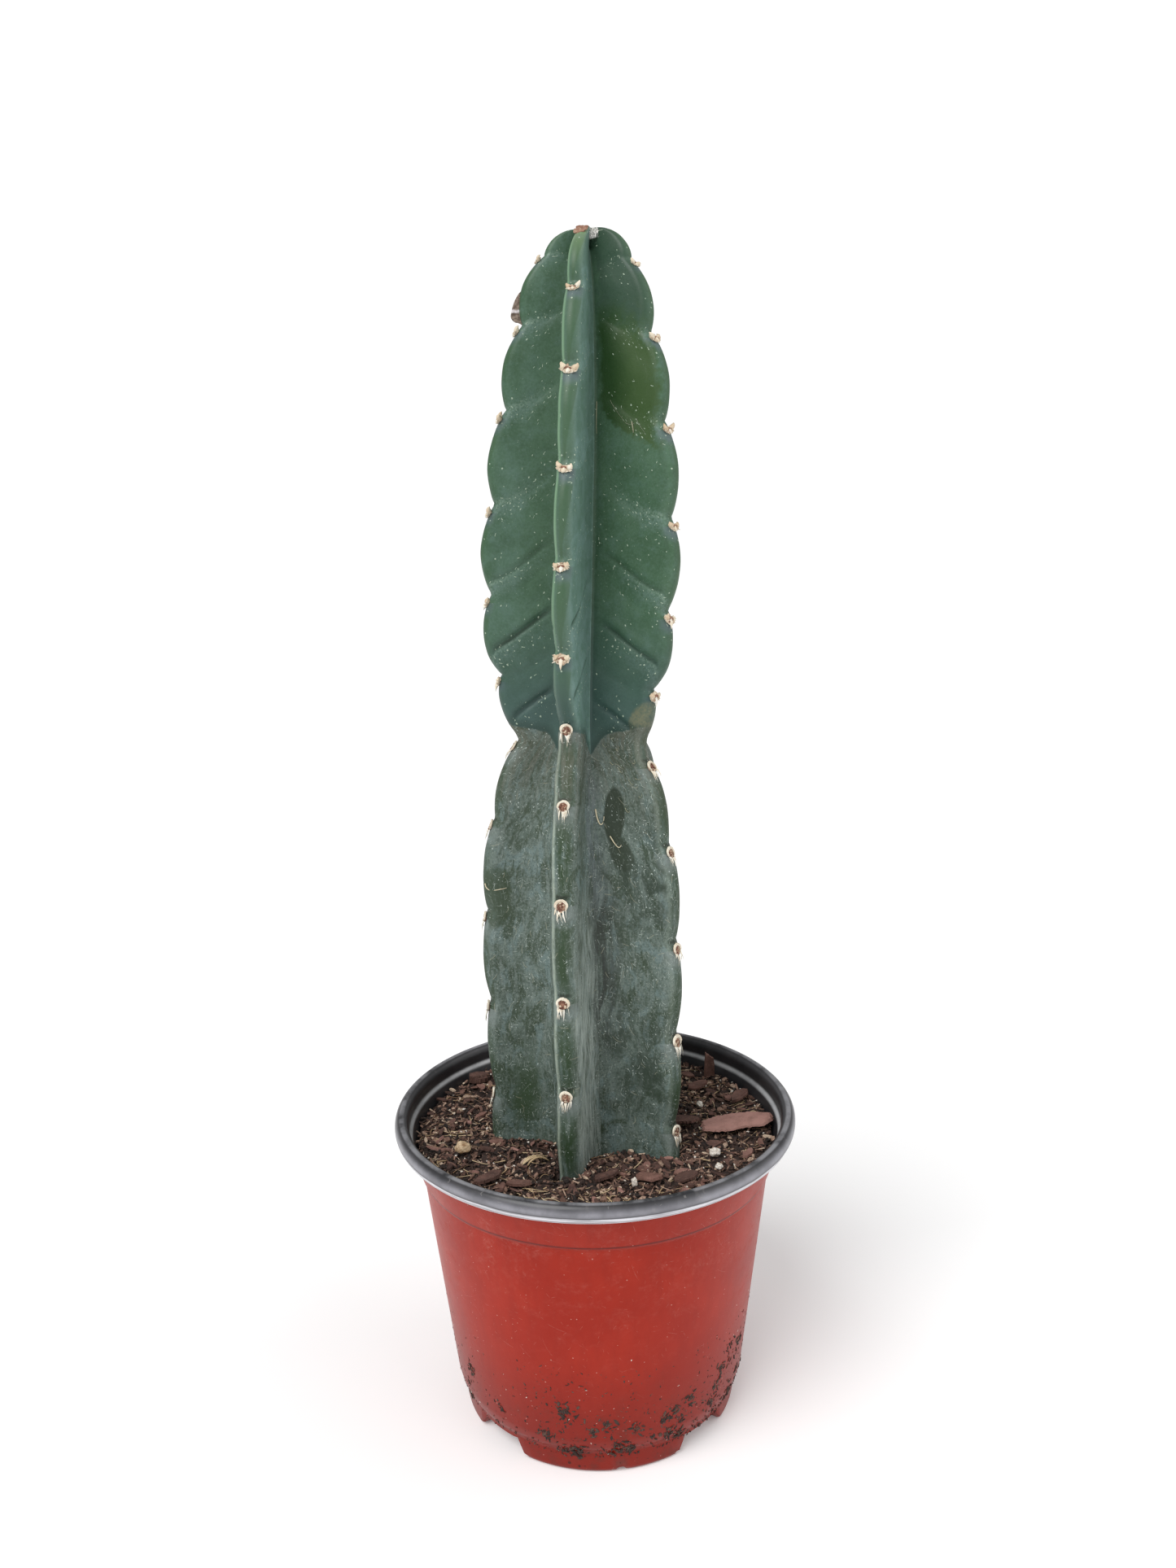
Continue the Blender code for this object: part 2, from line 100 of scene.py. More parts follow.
# Dry marks: radius in mm, rib, then places as a share with its side's sign and a growth index
SKIN_CURLS = (
    (0.24, 1, (-0.80, 3.37), (-0.74, 3.30), (-0.70, 3.26), (-0.66, 3.34)),
    (0.24, 4, (0.11, 3.0), (0.11, 2.9), (0.22, 2.93), (0.38, 2.94)),
    (0.3, 1, (-0.97, 3.62), (-0.95, 3.42), (-0.88, 3.42), (-0.86, 3.56)),
)
SKIN_SCRATCHES = (
    (0.06, 1, (-0.78, 8.5), (-0.74, 8.42), (-0.68, 8.4), (-0.6, 8.35)),
    (0.08, 1, (-0.6, 8.35), (-0.55, 8.36), (-0.5, 8.38), (-0.47, 8.42)),
    (0.26, 1, (-0.5, 8.42), (-0.51, 8.38), (-0.5, 8.34), (-0.51, 8.3)),
    (0.12, 1, (-0.97, 8.42), (-0.97, 8.3), (-0.98, 8.2), (-0.97, 8.06)),
    (0.09, 1, (-0.4, 8.5), (-0.42, 8.44), (-0.38, 8.4), (-0.36, 8.36)),
)
SCAR_PLACES = ((-0.2, 4.5), (-0.65, 4.35), (-0.52, 4.3), (-0.38, 4.2), (-0.52, 3.8), (-0.25, 4.3),
               (-0.72, 4.55), (-0.45, 4.6), (-0.3, 4.05))

# Pot: radii of the black inner face
POT_HEIGHT = 118 * MM
LIP_RADIUS = 76 * MM
LIP_WIDTH = 5.2 * MM
LIP_DEPTH = 7 * MM
LEDGE_Z, LEDGE_RADIUS = 111.2 * MM, 69.6 * MM
SHOULDER_Z, SHOULDER_RADIUS = 96.6 * MM, 64.7 * MM
CORNER_Z, CORNER_RADIUS = 14.5 * MM, 54.8 * MM
FLOOR_Z = 8.2 * MM
FOOT_OUTER_RADIUS, FOOT_INNER_RADIUS = 52 * MM, 47 * MM
WALL_THICKNESS = 1.2 * MM
POLE_RADIUS = 0.02 * MM
POT_STEPS, CURL_STEPS = 216, 28
ARCH_COUNT, ARCH_AZIMUTH, ARCH_HALF_WIDTH = 4, 45.0, 14.0
DRAIN_RADIUS, DRAIN_RING_RADIUS, CENTRE_DRAIN_RADIUS = 4 * MM, 46 * MM, 5 * MM
VENT_AZIMUTH, VENT_HALF_WIDTH, VENT_HEIGHT = 7.5, 2.8, 1.9 * MM

# Potting mix
MIX_Z = 105.6 * MM
MIX_EDGE_RISE = 2 * MM
MIX_RADIUS = 67.4 * MM
MIX_INDEX = 0.12  # growth index of the stem at the mix's surface
MIX_RINGS, OUTLINE_STEPS = 62, 40
GAP_PLACE, GAP_REACH, GAP_DEPTH = Vector((-14.5, -31)) * MM, Vector((2.6, 8)) * MM, 6 * MM

# Bark chips on the mix: length, width and thickness in mm, heading and tilt in degrees
CHIPS = {
    "bark_chip_large": (27, 11.5, 1.6, 4, 5),
    "bark_chip_beside": (13, 7, 1.4, -12, 8),
    "bark_chip_right_back": (9, 5.5, 1.6, 55, 10),
    "bark_chip_back": (8.5, 5, 1.6, 20, 6),
    "bark_chip_front_left": (10.5, 5, 1.5, 30, 8),
    "bark_chip_front_middle": (9.5, 4.5, 1.4, -18, 7),
    "bark_chip_front": (9.5, 5, 1.5, 22, 9),
    "bark_chip_front_right": (9.5, 5, 1.5, -30, 8),
    "bark_chip_right": (9, 5.5, 1.6, 12, 10),
    "bark_lump": (7.5, 6.5, 4, 40, 0),
}

# Grains and the stone: half sizes in mm
GRAIN_SIZES = {
    "perlite_grain_right": (1.3, 1.6, 1.2),
    "perlite_grain_front": (2.1, 1.6, 1.5),
    "perlite_grain_front_right": (1.3, 1.5, 1.1),
    "perlite_grain_middle": (1.1, 1.2, 1.7),
}
STONE_SIZE = (3.1, 2.4, 2.2)

# Camera
CAMERA_PLACE = Vector((0, -421.9 * MM, 323.3 * MM))
CAMERA_PITCH, CAMERA_ROLL = -10.93, -1.19
CAMERA_LENS, CAMERA_SENSOR = 27.09, 36.0


# Small helpers ------------------------------------------------------------------------------

def direction(azimuth):
    """Unit vector away from the axis at an azimuth in degrees."""
    angle = math.radians(azimuth)
    return Vector((math.sin(angle), -math.cos(angle), 0))


def smooth_step(low, high, value):
    """Rise smoothly from 0 at low to 1 at high."""
    share = min(1, max(0, (value - low) / (high - low)))
    return share * share * (3 - 2 * share)


def blend(start, end, share):
    """Go from start to end as share goes from 0 to 1."""
    return start + (end - start) * share


def add_object(name, data):
    """Put an object in the scene, at the origin."""
    made = bpy.data.objects.new(name, data)
    bpy.context.scene.collection.objects.link(made)
    return made


def as_mesh(bm, name):
    """Turn a bmesh into a mesh."""
    mesh = bpy.data.meshes.new(name)
    bm.to_mesh(mesh)
    bm.free()
    return mesh


def add_piece(bm, name, material, replaces=(), sharp=180):
    """Turn a bmesh into a finished piece; edges steeper than sharp, in degrees, stay crisp."""
    mesh = as_mesh(bm, name)
    mesh.shade_smooth()
    if sharp < 180:
        mesh.set_sharp_from_angle(angle=math.radians(sharp))
    mesh.materials.append(material)
    piece = add_object(name, mesh)
    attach(piece, "root")
    if replaces:
        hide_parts(*replaces)
    return piece


def scaled(x, y, z):
    """Matrix that scales along each axis."""
    return Matrix.Diagonal((x, y, z, 1))


def axes_at(place, x_axis, y_axis, z_axis):
    """Matrix that stands at a place with three axes of its own."""
    return Matrix.Translation(place) @ Matrix((x_axis, y_axis, z_axis)).transposed().to_4x4()


def settle(bm, name):
    """Move a piece over its node, down to the node's lowest point."""
    low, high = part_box(name)
    centre = (low + high) / 2
    lowest = min(vert.co.z for vert in bm.verts)
    bmesh.ops.translate(bm, verts=bm.verts, vec=(centre.x, centre.y, low.z - lowest))


def turned(profile, steps, gap):
    """Turn a (radius, height) profile once around Z; points closer than gap become one."""
    bm = bmesh.new()
    verts = [bm.verts.new((0, -radius, height)) for radius, height in profile]
    edges = [bm.edges.new(pair) for pair in zip(verts, verts[1:])]
    bmesh.ops.spin(bm, geom=verts + edges, axis=(0, 0, 1), cent=(0, 0, 0), steps=steps,
                   angle=math.tau, use_merge=True)
    bmesh.ops.remove_doubles(bm, verts=bm.verts, dist=gap)
    return bm


def thicken(bm, taper=0.0):
    """Give a sheet a second face, drawn in a little at its rim, and return that face's corners."""
    centre = Vector((0, 0, 0))
    for vert in bm.verts:
        centre += vert.co / len(bm.verts)
    raised = bmesh.ops.extrude_face_region(bm, geom=list(bm.faces))["geom"]
    top = [item for item in raised if isinstance(item, bmesh.types.BMVert)]
    for vert in top:
        vert.co.x = blend(vert.co.x, centre.x, taper)
        vert.co.y = blend(vert.co.y, centre.y, taper)
    return top


class Shape:
    """A small shape made once with bmesh and stamped many times."""

    def __init__(self, bm):
        bm.verts.index_update()
        self.points = [vert.co.copy() for vert in bm.verts]
        self.corners = [[vert.index for vert in face.verts] for face in bm.faces]
        bm.free()


class Pile:
    """Many stamped shapes gathered into one mesh, each with its own tone."""

    def __init__(self):
        self.bm = bmesh.new()
        self.tone = self.bm.verts.layers.float.new("tone")

    def stamp(self, shape, place, tone):
        """Add a copy of a shape, whose points go through place, a matrix or a function."""
        verts = []
        for point in shape.points:
            vert = self.bm.verts.new(place(point) if callable(place) else place @ point)
            vert[self.tone] = tone
            verts.append(vert)
        for corner in shape.corners:
            self.bm.faces.new([verts[index] for index in corner])


def splinter_shape(taper):
    """Box of size 1, narrower towards +X."""
    bm = bmesh.new()
    for vert in bmesh.ops.create_cube(bm, size=1)["verts"]:
        if vert.co.x > 0:
            vert.co.y *= taper
    return Shape(bm)


def rough_shape(subdivisions, roughness, seed):
    """Ball of radius 1 with an uneven surface."""
    rng = random.Random(seed)
    bm = bmesh.new()
    bmesh.ops.create_icosphere(bm, subdivisions=subdivisions, radius=1)
    for vert in bm.verts:
        vert.co *= rng.uniform(1 - roughness, 1 + roughness)
    return Shape(bm)


def jagged_flake_shape(seed):
    """Thin flake of length 1 with a ragged outline, for loose bark."""
    rng = random.Random(seed)
    bm = bmesh.new()
    bmesh.ops.create_circle(bm, cap_ends=True, segments=7, radius=0.5)
    for vert in bm.verts:
        vert.co.x *= rng.uniform(0.75, 1.1)
        vert.co.y *= rng.uniform(0.6, 1.15)
    for vert in thicken(bm):
        vert.co.z += 1
        vert.co.x *= rng.uniform(0.88, 1.02)
        vert.co.y *= rng.uniform(0.85, 1.02)
    bmesh.ops.recalc_face_normals(bm, faces=bm.faces)
    return Shape(bm)


def strand_shape(sides, rings):
    """Tube along Z from 0 to 1, of radius 1, to be bent along a path."""
    bm = bmesh.new()
    bmesh.ops.create_cone(bm, cap_ends=True, segments=sides, radius1=1, radius2=1, depth=1)
    bmesh.ops.translate(bm, verts=bm.verts, vec=(0, 0, 0.5))
    upright = [edge for edge in bm.edges if abs(edge.verts[0].co.z - edge.verts[1].co.z) > 0.5]
    bmesh.ops.subdivide_edges(bm, edges=upright, cuts=rings)
    return Shape(bm)


def along(points, radius, tip=0.15, here=Matrix.Identity(4)):
    """Bend a strand along a smooth path in the frame here; tip is a share of the root's radius."""
    path = [Vector(point) for point in points]

    def at(share):
        """Point on the Bezier curve through all the control points."""
        level = path
        while len(level) > 1:
            level = [a.lerp(b, share) for a, b in zip(level, level[1:])]
        return level[0]

    def place(point):
        """Where a point of the strand goes."""
        share = point.z
        tangent = (at(min(1, share + 0.05)) - at(max(0, share - 0.05))).normalized()
        side = tangent.orthogonal() if abs(tangent.z) > 0.95 else tangent.cross(Vector((0, 0, 1)))
        side.normalize()
        other = tangent.cross(side)
        width = radius * blend(1, tip, share ** 1.3)
        return here @ (at(share) + (side * point.x + other * point.y) * width)

    return place


# Materials ----------------------------------------------------------------------------------

def arithmetic(operation, swapped=False):
    """Make one of Python's operators add a Math node."""
    def apply(self, other):
        return self.looks.math(operation, *((other, self) if swapped else (self, other)))
    return apply


class Value:
    """A number that varies over a surface. Python's operators work on it."""

    def __init__(self, looks, socket):
        self.looks = looks
        self.socket = socket

    __add__ = __radd__ = arithmetic("ADD")
    __sub__ = arithmetic("SUBTRACT")
    __rsub__ = arithmetic("SUBTRACT", swapped=True)
    __mul__ = __rmul__ = arithmetic("MULTIPLY")
    __truediv__ = arithmetic("DIVIDE")
    __rtruediv__ = arithmetic("DIVIDE", swapped=True)
    __gt__ = arithmetic("GREATER_THAN")
    __lt__ = arithmetic("LESS_THAN")

    def __abs__(self):
        """The value without its sign."""
        return self.looks.math("ABSOLUTE", self)

    def rise(self, low, high):
        """Rise smoothly from 0 at low to 1 at high; high may be the lower one."""
        limits = {"From Min": low, "From Max": high, "Value": self}
        node = self.looks.node("MapRange", {"interpolation_type": "SMOOTHSTEP"}, limits)
        return Value(self.looks, node.outputs[0])

    def bump_at(self, centre, width):
        """1 at centre, falling smoothly to 0 at a distance of width."""
        return abs(self - centre).rise(width, 0)


class NodeTree:
    """A node tree being written."""

    def __init__(self, tree):
        self.nodes = tree.nodes
        self.links = tree.links

    def node(self, kind, settings=None, inputs=None):
        """Add a node with its settings, then the values or links of its sockets."""
        node = self.nodes.new("ShaderNode" + kind)
        for name, value in (settings or {}).items():
            if name == "stops":
                self.set_stops(node.color_ramp, value)
            else:
                setattr(node, name, value)
        for place, value in (inputs or {}).items():
            self.feed(node.inputs[place], value)
        return node

    def set_stops(self, ramp, stops):
        """Give a colour ramp its stops."""
        while len(ramp.elements) < len(stops):
            ramp.elements.new(0.5)
        for element, (place, colour) in zip(ramp.elements, stops):
            element.position = place
            element.color = (*colour, 1)

    def feed(self, socket, value):
        """Link a socket, or set its own value."""
        if isinstance(value, Value):
            value = value.socket
        if isinstance(value, bpy.types.NodeSocket):
            self.links.new(value, socket)
        elif isinstance(value, tuple) and socket.type == "RGBA":
            socket.default_value = (*value, 1)
        else:
            socket.default_value = value


class Looks(NodeTree):
    """A material being written, around its Principled shader."""

    def __init__(self, name, **constants):
        self.material = bpy.data.materials.new(name)
        self.material.use_nodes = True
        super().__init__(self.material.node_tree)
        self.shader = self.nodes["Principled BSDF"]
        for socket, value in constants.items():
            self.shader.inputs[socket.replace("_", " ")].default_value = value

    def math(self, operation, *values):
        """One Math node on numbers and values."""
        node = self.node("Math", {"operation": operation}, dict(enumerate(values)))
        return Value(self, node.outputs[0])

    def most(self, highest, *values):
        """The highest of several values at each point."""
        for value in values:
            highest = self.math("MAXIMUM", highest, value)
        return highest

    def vector(self, operation, *values):
        """One Vector Math node on vectors; a bare number scales."""
        places = {3 if isinstance(value, (int, float)) else index: value
                  for index, value in enumerate(values)}
        return self.node("VectorMath", {"operation": operation}, places).outputs[0]

    def mix(self, factor, low, high):
        """Mix two colours."""
        return self.node("Mix", {"data_type": "RGBA"}, {0: factor, 6: low, 7: high}).outputs[2]

    def coats(self, colour, *coats):
        """Lay coats over a colour: each is a share and the coat's own colour."""
        for share, coat in coats:
            colour = self.mix(share, colour, coat)
        return colour

    def position(self):
        """The point's own place in the object, in metres."""
        return self.node("TexCoord").outputs["Object"]

    def stretched(self, vector, *scale):
        """A pattern's coordinates, scaled along each axis."""
        return self.vector("MULTIPLY", vector, tuple(scale))

    def shifted(self, vector, x, y):
        """A pattern's coordinates, moved so that it doesn't repeat another one."""
        return self.vector("ADD", vector, (x, y, 0.0))

    def unrolled(self, x, y, height, radius):
        """Coordinates on a round wall that is laid out flat at a radius."""
        angle = self.math("ARCTAN2", x, y * -1)
        return self.node("CombineXYZ", None, {0: angle * radius, 1: height, 2: 0.0}).outputs[0]

    def noise(self, vector, scale, detail=3, roughness=0.5, distortion=0.0):
        """Soft noise around 0.5."""
        inputs = {"Vector": vector, "Scale": scale, "Detail": detail, "Roughness": roughness,
                  "Distortion": distortion}
        return Value(self, self.node("TexNoise", None, inputs).outputs[0])

    def cells(self, vector, scale, dimensions):
        """Voronoi cells: the node, for its Distance, Color and Position."""
        inputs = {"Vector": vector, "Scale": scale}
        return self.node("TexVoronoi", {"voronoi_dimensions": dimensions}, inputs)

    def split(self, vector):
        """The three numbers of a vector."""
        node = self.node("SeparateXYZ", None, {0: vector})
        return [Value(self, output) for output in node.outputs]

    def ramp(self, value, *stops):
        """A colour from a number."""
        return self.node("ValToRGB", {"stops": stops}, {0: value}).outputs[0]

    def attribute(self, name):
        """A number stored on the mesh."""
        return Value(self, self.node("Attribute", {"attribute_name": name}).outputs["Fac"])

    def uneven_tone(self, scale, spread, detail=2):
        """The tone stored on the mesh, made uneven by noise."""
        return self.attribute("tone") + (self.noise(self.position(), scale, detail) - 0.5) * spread

    def specks(self, vector, scale, size, share, dimensions="3D"):
        """Round specks: size in cells, share of the cells that hold one."""
        cell = self.cells(vector, scale, dimensions)
        red, green, _ = self.split(cell.outputs["Color"])
        reach = (green * 0.7 + 0.3) * size
        return Value(self, cell.outputs["Distance"]).rise(reach, reach * 0.6) * (red < share)

    def patch(self, x, y, centre, reach, ragged):
        """An oval patch with a ragged edge."""
        x = (x - centre[0]) / reach[0]
        y = (y - centre[1]) / reach[1]
        return (x * x + y * y + (ragged - 0.5) * 0.9).rise(1.15, 0.75)

    def strokes(self, plane, cell_size, length, width, share, bend=1.2, turn=1.0, lean=0.0):
        """Short curved hairs in a plane, sizes in mm: one in each cell that holds one."""
        scaled = self.vector("SCALE", plane, 1 / (cell_size * MM))
        cell = self.cells(scaled, 1.0, "2D")
        red, green, blue = self.split(cell.outputs["Color"])
        angle = (red - 0.5) * (turn * math.tau) + lean
        x, y, _ = self.split(self.vector("SUBTRACT", scaled, cell.outputs["Position"]))
        sine, cosine = self.math("SINE", angle), self.math("COSINE", angle)
        forward = x * cosine + y * sine
        sideways = y * cosine - x * sine - forward * forward * (green - 0.5) * bend * 2
        half_length = (green * 0.6 + 0.4) * (length / cell_size / 2)
        half_width = width / cell_size / 2
        across = abs(sideways).rise(half_width, half_width * 0.4)
        reach = abs(forward).rise(half_length, half_length * 0.7)
        return across * reach * (blue < share)

    def finish(self, colour, roughness=None, height=None, depth=0.001, strength=1.0):
        """Feed the shader and return the material; depth is the bump's, in metres."""
        self.feed(self.shader.inputs["Base Color"], colour)
        if roughness is not None:
            self.feed(self.shader.inputs["Roughness"], roughness)
        if height is not None:
            inputs = {"Height": height, "Distance": depth, "Strength": strength}
            bump = self.node("Bump", None, inputs)
            self.feed(self.shader.inputs["Normal"], bump.outputs[0])
        return self.material


# Stem ---------------------------------------------------------------------------------------

def station(index):
    """Crest height, crest radius, rise and valley radius at a growth index, in metres."""
    rows = STEM_STATIONS
    place = 0
    while place < len(rows) - 2 and rows[place + 1][0] <= index:
        place += 1
    before, start, end = rows[max(place - 1, 0)], rows[place], rows[place + 1]
    after = rows[min(place + 2, len(rows) - 1)]
    width = end[0] - start[0]
    share = (index - start[0]) / width
    values = []
    for column in range(1, 5):
        leave = (end[column] - before[column]) / (end[0] - before[0]) * width
        arrive = (after[column] - start[column]) / (after[0] - start[0]) * width
        rest = end[column] - start[column]
        curve = (leave + arrive - 2 * rest) * share ** 3 + (3 * rest - 2 * leave - arrive) * share ** 2
        values.append((start[column] + leave * share + curve) * MM)
    return values


def lobe(index, rib):
    """0 in a rib's notches and 1 where it bulges between them."""
    return abs(math.sin(math.pi * (index - RIB_SHIFT * rib - NOTCH_OFFSET))) ** NOTCH_SHARPNESS


def axis_offset(height):
    """How far the stem's bent axis stands from the pot's axis at a height."""
    return AXIS_BASE + AXIS_BEND * smooth_step(BEND_START, BEND_END, height)


def side_point(index, rib, side, share):
    """Point on one flank of a rib: share 0 is its crest and 1 the valley beside it."""
    crest_z, crest_r, rise, valley_r = station(index)
    upper = smooth_step(NECK_INDEX - 0.5, NECK_INDEX + 0.9, index)
    above_root = smooth_step(-0.9, 0.2, index)
    tip = smooth_step(9.5, 11.7, index)
    bulge = lobe(index, rib)
    notch = blend(LOWER_NOTCH, UPPER_NOTCH, upper) * above_root * (1 - 0.7 * tip)
    crest_r -= notch * (1 - bulge)
    cap = min(blend(LOWER_CAP, UPPER_CAP, upper) * (1 - 0.5 * tip), 0.4 * crest_r)
    along_rib = direction(RIB_AZIMUTHS[rib])
    across = direction(RIB_AZIMUTHS[rib] + 90 * side)
    valley_azimuth = VALLEY_AZIMUTHS[rib if side > 0 else rib - 1]
    valley = direction(valley_azimuth) * valley_r
    centre = along_rib * (crest_r - cap)
    if share <= CAP_SHARE:
        turn = math.radians(90 * share / CAP_SHARE)
        place = centre + (along_rib * math.cos(turn) + across * math.sin(turn)) * cap
        climb = 0
    else:
        step = (share - CAP_SHARE) / (1 - CAP_SHARE)
        start = centre + across * cap
        reach = (valley - start).length
        roundness = blend(LOWER_ROUND, UPPER_ROUND, upper)
        around = direction(valley_azimuth - 90 * side)
        leave = (start - valley).normalized() * (1 - roundness) + around * roundness
        swell = across * blend(LOWER_SWELL, UPPER_SWELL, upper) * bulge * above_root * (1 - tip)
        first = start - along_rib * CREST_HANDLE * reach + swell
        second = valley + leave * VALLEY_HANDLE * reach + swell * 0.5
        rest = 1 - step
        place = (start * rest ** 3 + first * 3 * rest ** 2 * step + second * 3 * rest * step ** 2
                 + valley * step ** 3)
        climb = step * step * (3 - 2 * step)
    place.z = crest_z + rise * climb
    return place + axis_offset(place.z)


def crease(index, rib, share):
    """How far the flank dips at a crease that climbs inward from each notch, in metres."""
    if index < 0.3 or share > 0.97:
        return 0.0
    climb = CREASE_CLIMB + LOW_CREASE_CLIMB * smooth_step(*CREASE_CLIMB_FADE, index)
    climb *= 1 - math.exp(-share / CREASE_BEND)
    phase = index - RIB_SHIFT * rib - NOTCH_OFFSET - climb
    phase -= round(phase)
    if index < NECK_INDEX + 0.2:
        strength = 0.15 * MM
    else:
        strength = (0.05 + 0.9 * smooth_step(*CREASE_DEPTH_FADE, index)) * MM
    window = smooth_step(0.1, 0.3, share) * smooth_step(0.97, 0.75, share)
    groove = math.exp(-(phase / 0.035) ** 2) - 0.45 * math.exp(-((phase - 0.11) / 0.09) ** 2)
    return strength * window * groove


def row_index(row):
    """Growth index of a row of the stem's mesh, with fewer rows below the mix."""
    if row < ROOT_STEPS:
        return blend(FIRST_INDEX, ROOT_TOP, row / ROOT_STEPS)
    return blend(ROOT_TOP, LAST_INDEX, (row - ROOT_STEPS) / (ROW_STEPS - ROOT_STEPS))


def add_rib(bm, rib, growth_map, skin_map):
    """Bend one flat grid into a rib, from the valley before it to the valley after it."""
    made = bmesh.ops.create_grid(bm, x_segments=2 * FLANK_STEPS, y_segments=ROW_STEPS, size=1)
    places = {}
    columns = range(-FLANK_STEPS, FLANK_STEPS + 1)
    rows = []
    for row in range(ROW_STEPS + 1):
        index = row_index(row)
        line = {}
        for column in columns:
            share = abs(column) / FLANK_STEPS
            side = 1 if column >= 0 else -1
            point = side_point(index, rib, side, share)
            inward = direction(RIB_AZIMUTHS[rib] + 90 * side) * -crease(index, rib, share)
            line[column] = point + inward
        arc = {0: 0.0}
        for column in range(1, FLANK_STEPS + 1):
            arc[column] = arc[column - 1] + (line[column] - line[column - 1]).length
            arc[-column] = arc[1 - column] - (line[-column] - line[1 - column]).length
        rows.append((index, line, arc))
    for vert in made["verts"]:
        column = round(vert.co.x * FLANK_STEPS)
        index, line, arc = rows[round((vert.co.y + 1) / 2 * ROW_STEPS)]
        places[vert] = ((rib + 0.5 * column / FLANK_STEPS, index),
                        (SKIN_MAP_PITCH * rib + arc[column], line[0].z))
        vert.co = line[column]
    for face in {face for vert in made["verts"] for face in vert.link_faces}:
        for loop in face.loops:
            loop[growth_map].uv, loop[skin_map].uv = places[loop.vert]


def make_stem():
    """The whole stem, with its skin."""
    bm = bmesh.new()
    growth_map = bm.loops.layers.uv.new("growth")
    skin_map = bm.loops.layers.uv.new("skin")
    for rib in range(RIB_COUNT):
        add_rib(bm, rib, growth_map, skin_map)
    bmesh.ops.remove_doubles(bm, verts=bm.verts, dist=0.004 * MM)
    ends = [edge for edge in bm.edges if edge.is_boundary]
    caps = bmesh.ops.edgeloop_fill(bm, edges=ends)["faces"]
    bmesh.ops.poke(bm, faces=caps)
    bmesh.ops.recalc_face_normals(bm, faces=bm.faces)
    bm.normal_update()
    for vert in bm.verts:
        size = SKIN_SWAY * smooth_step(100 * MM, 115 * MM, vert.co.z)
        size *= smooth_step(430 * MM, 400 * MM, vert.co.z)
        sway = noise.noise(vert.co * 55) + 0.5 * noise.noise(vert.co * 140)
        vert.co += vert.normal * size * sway
    add_piece(bm, "stem", skin_material(), ["cactus_stem"])


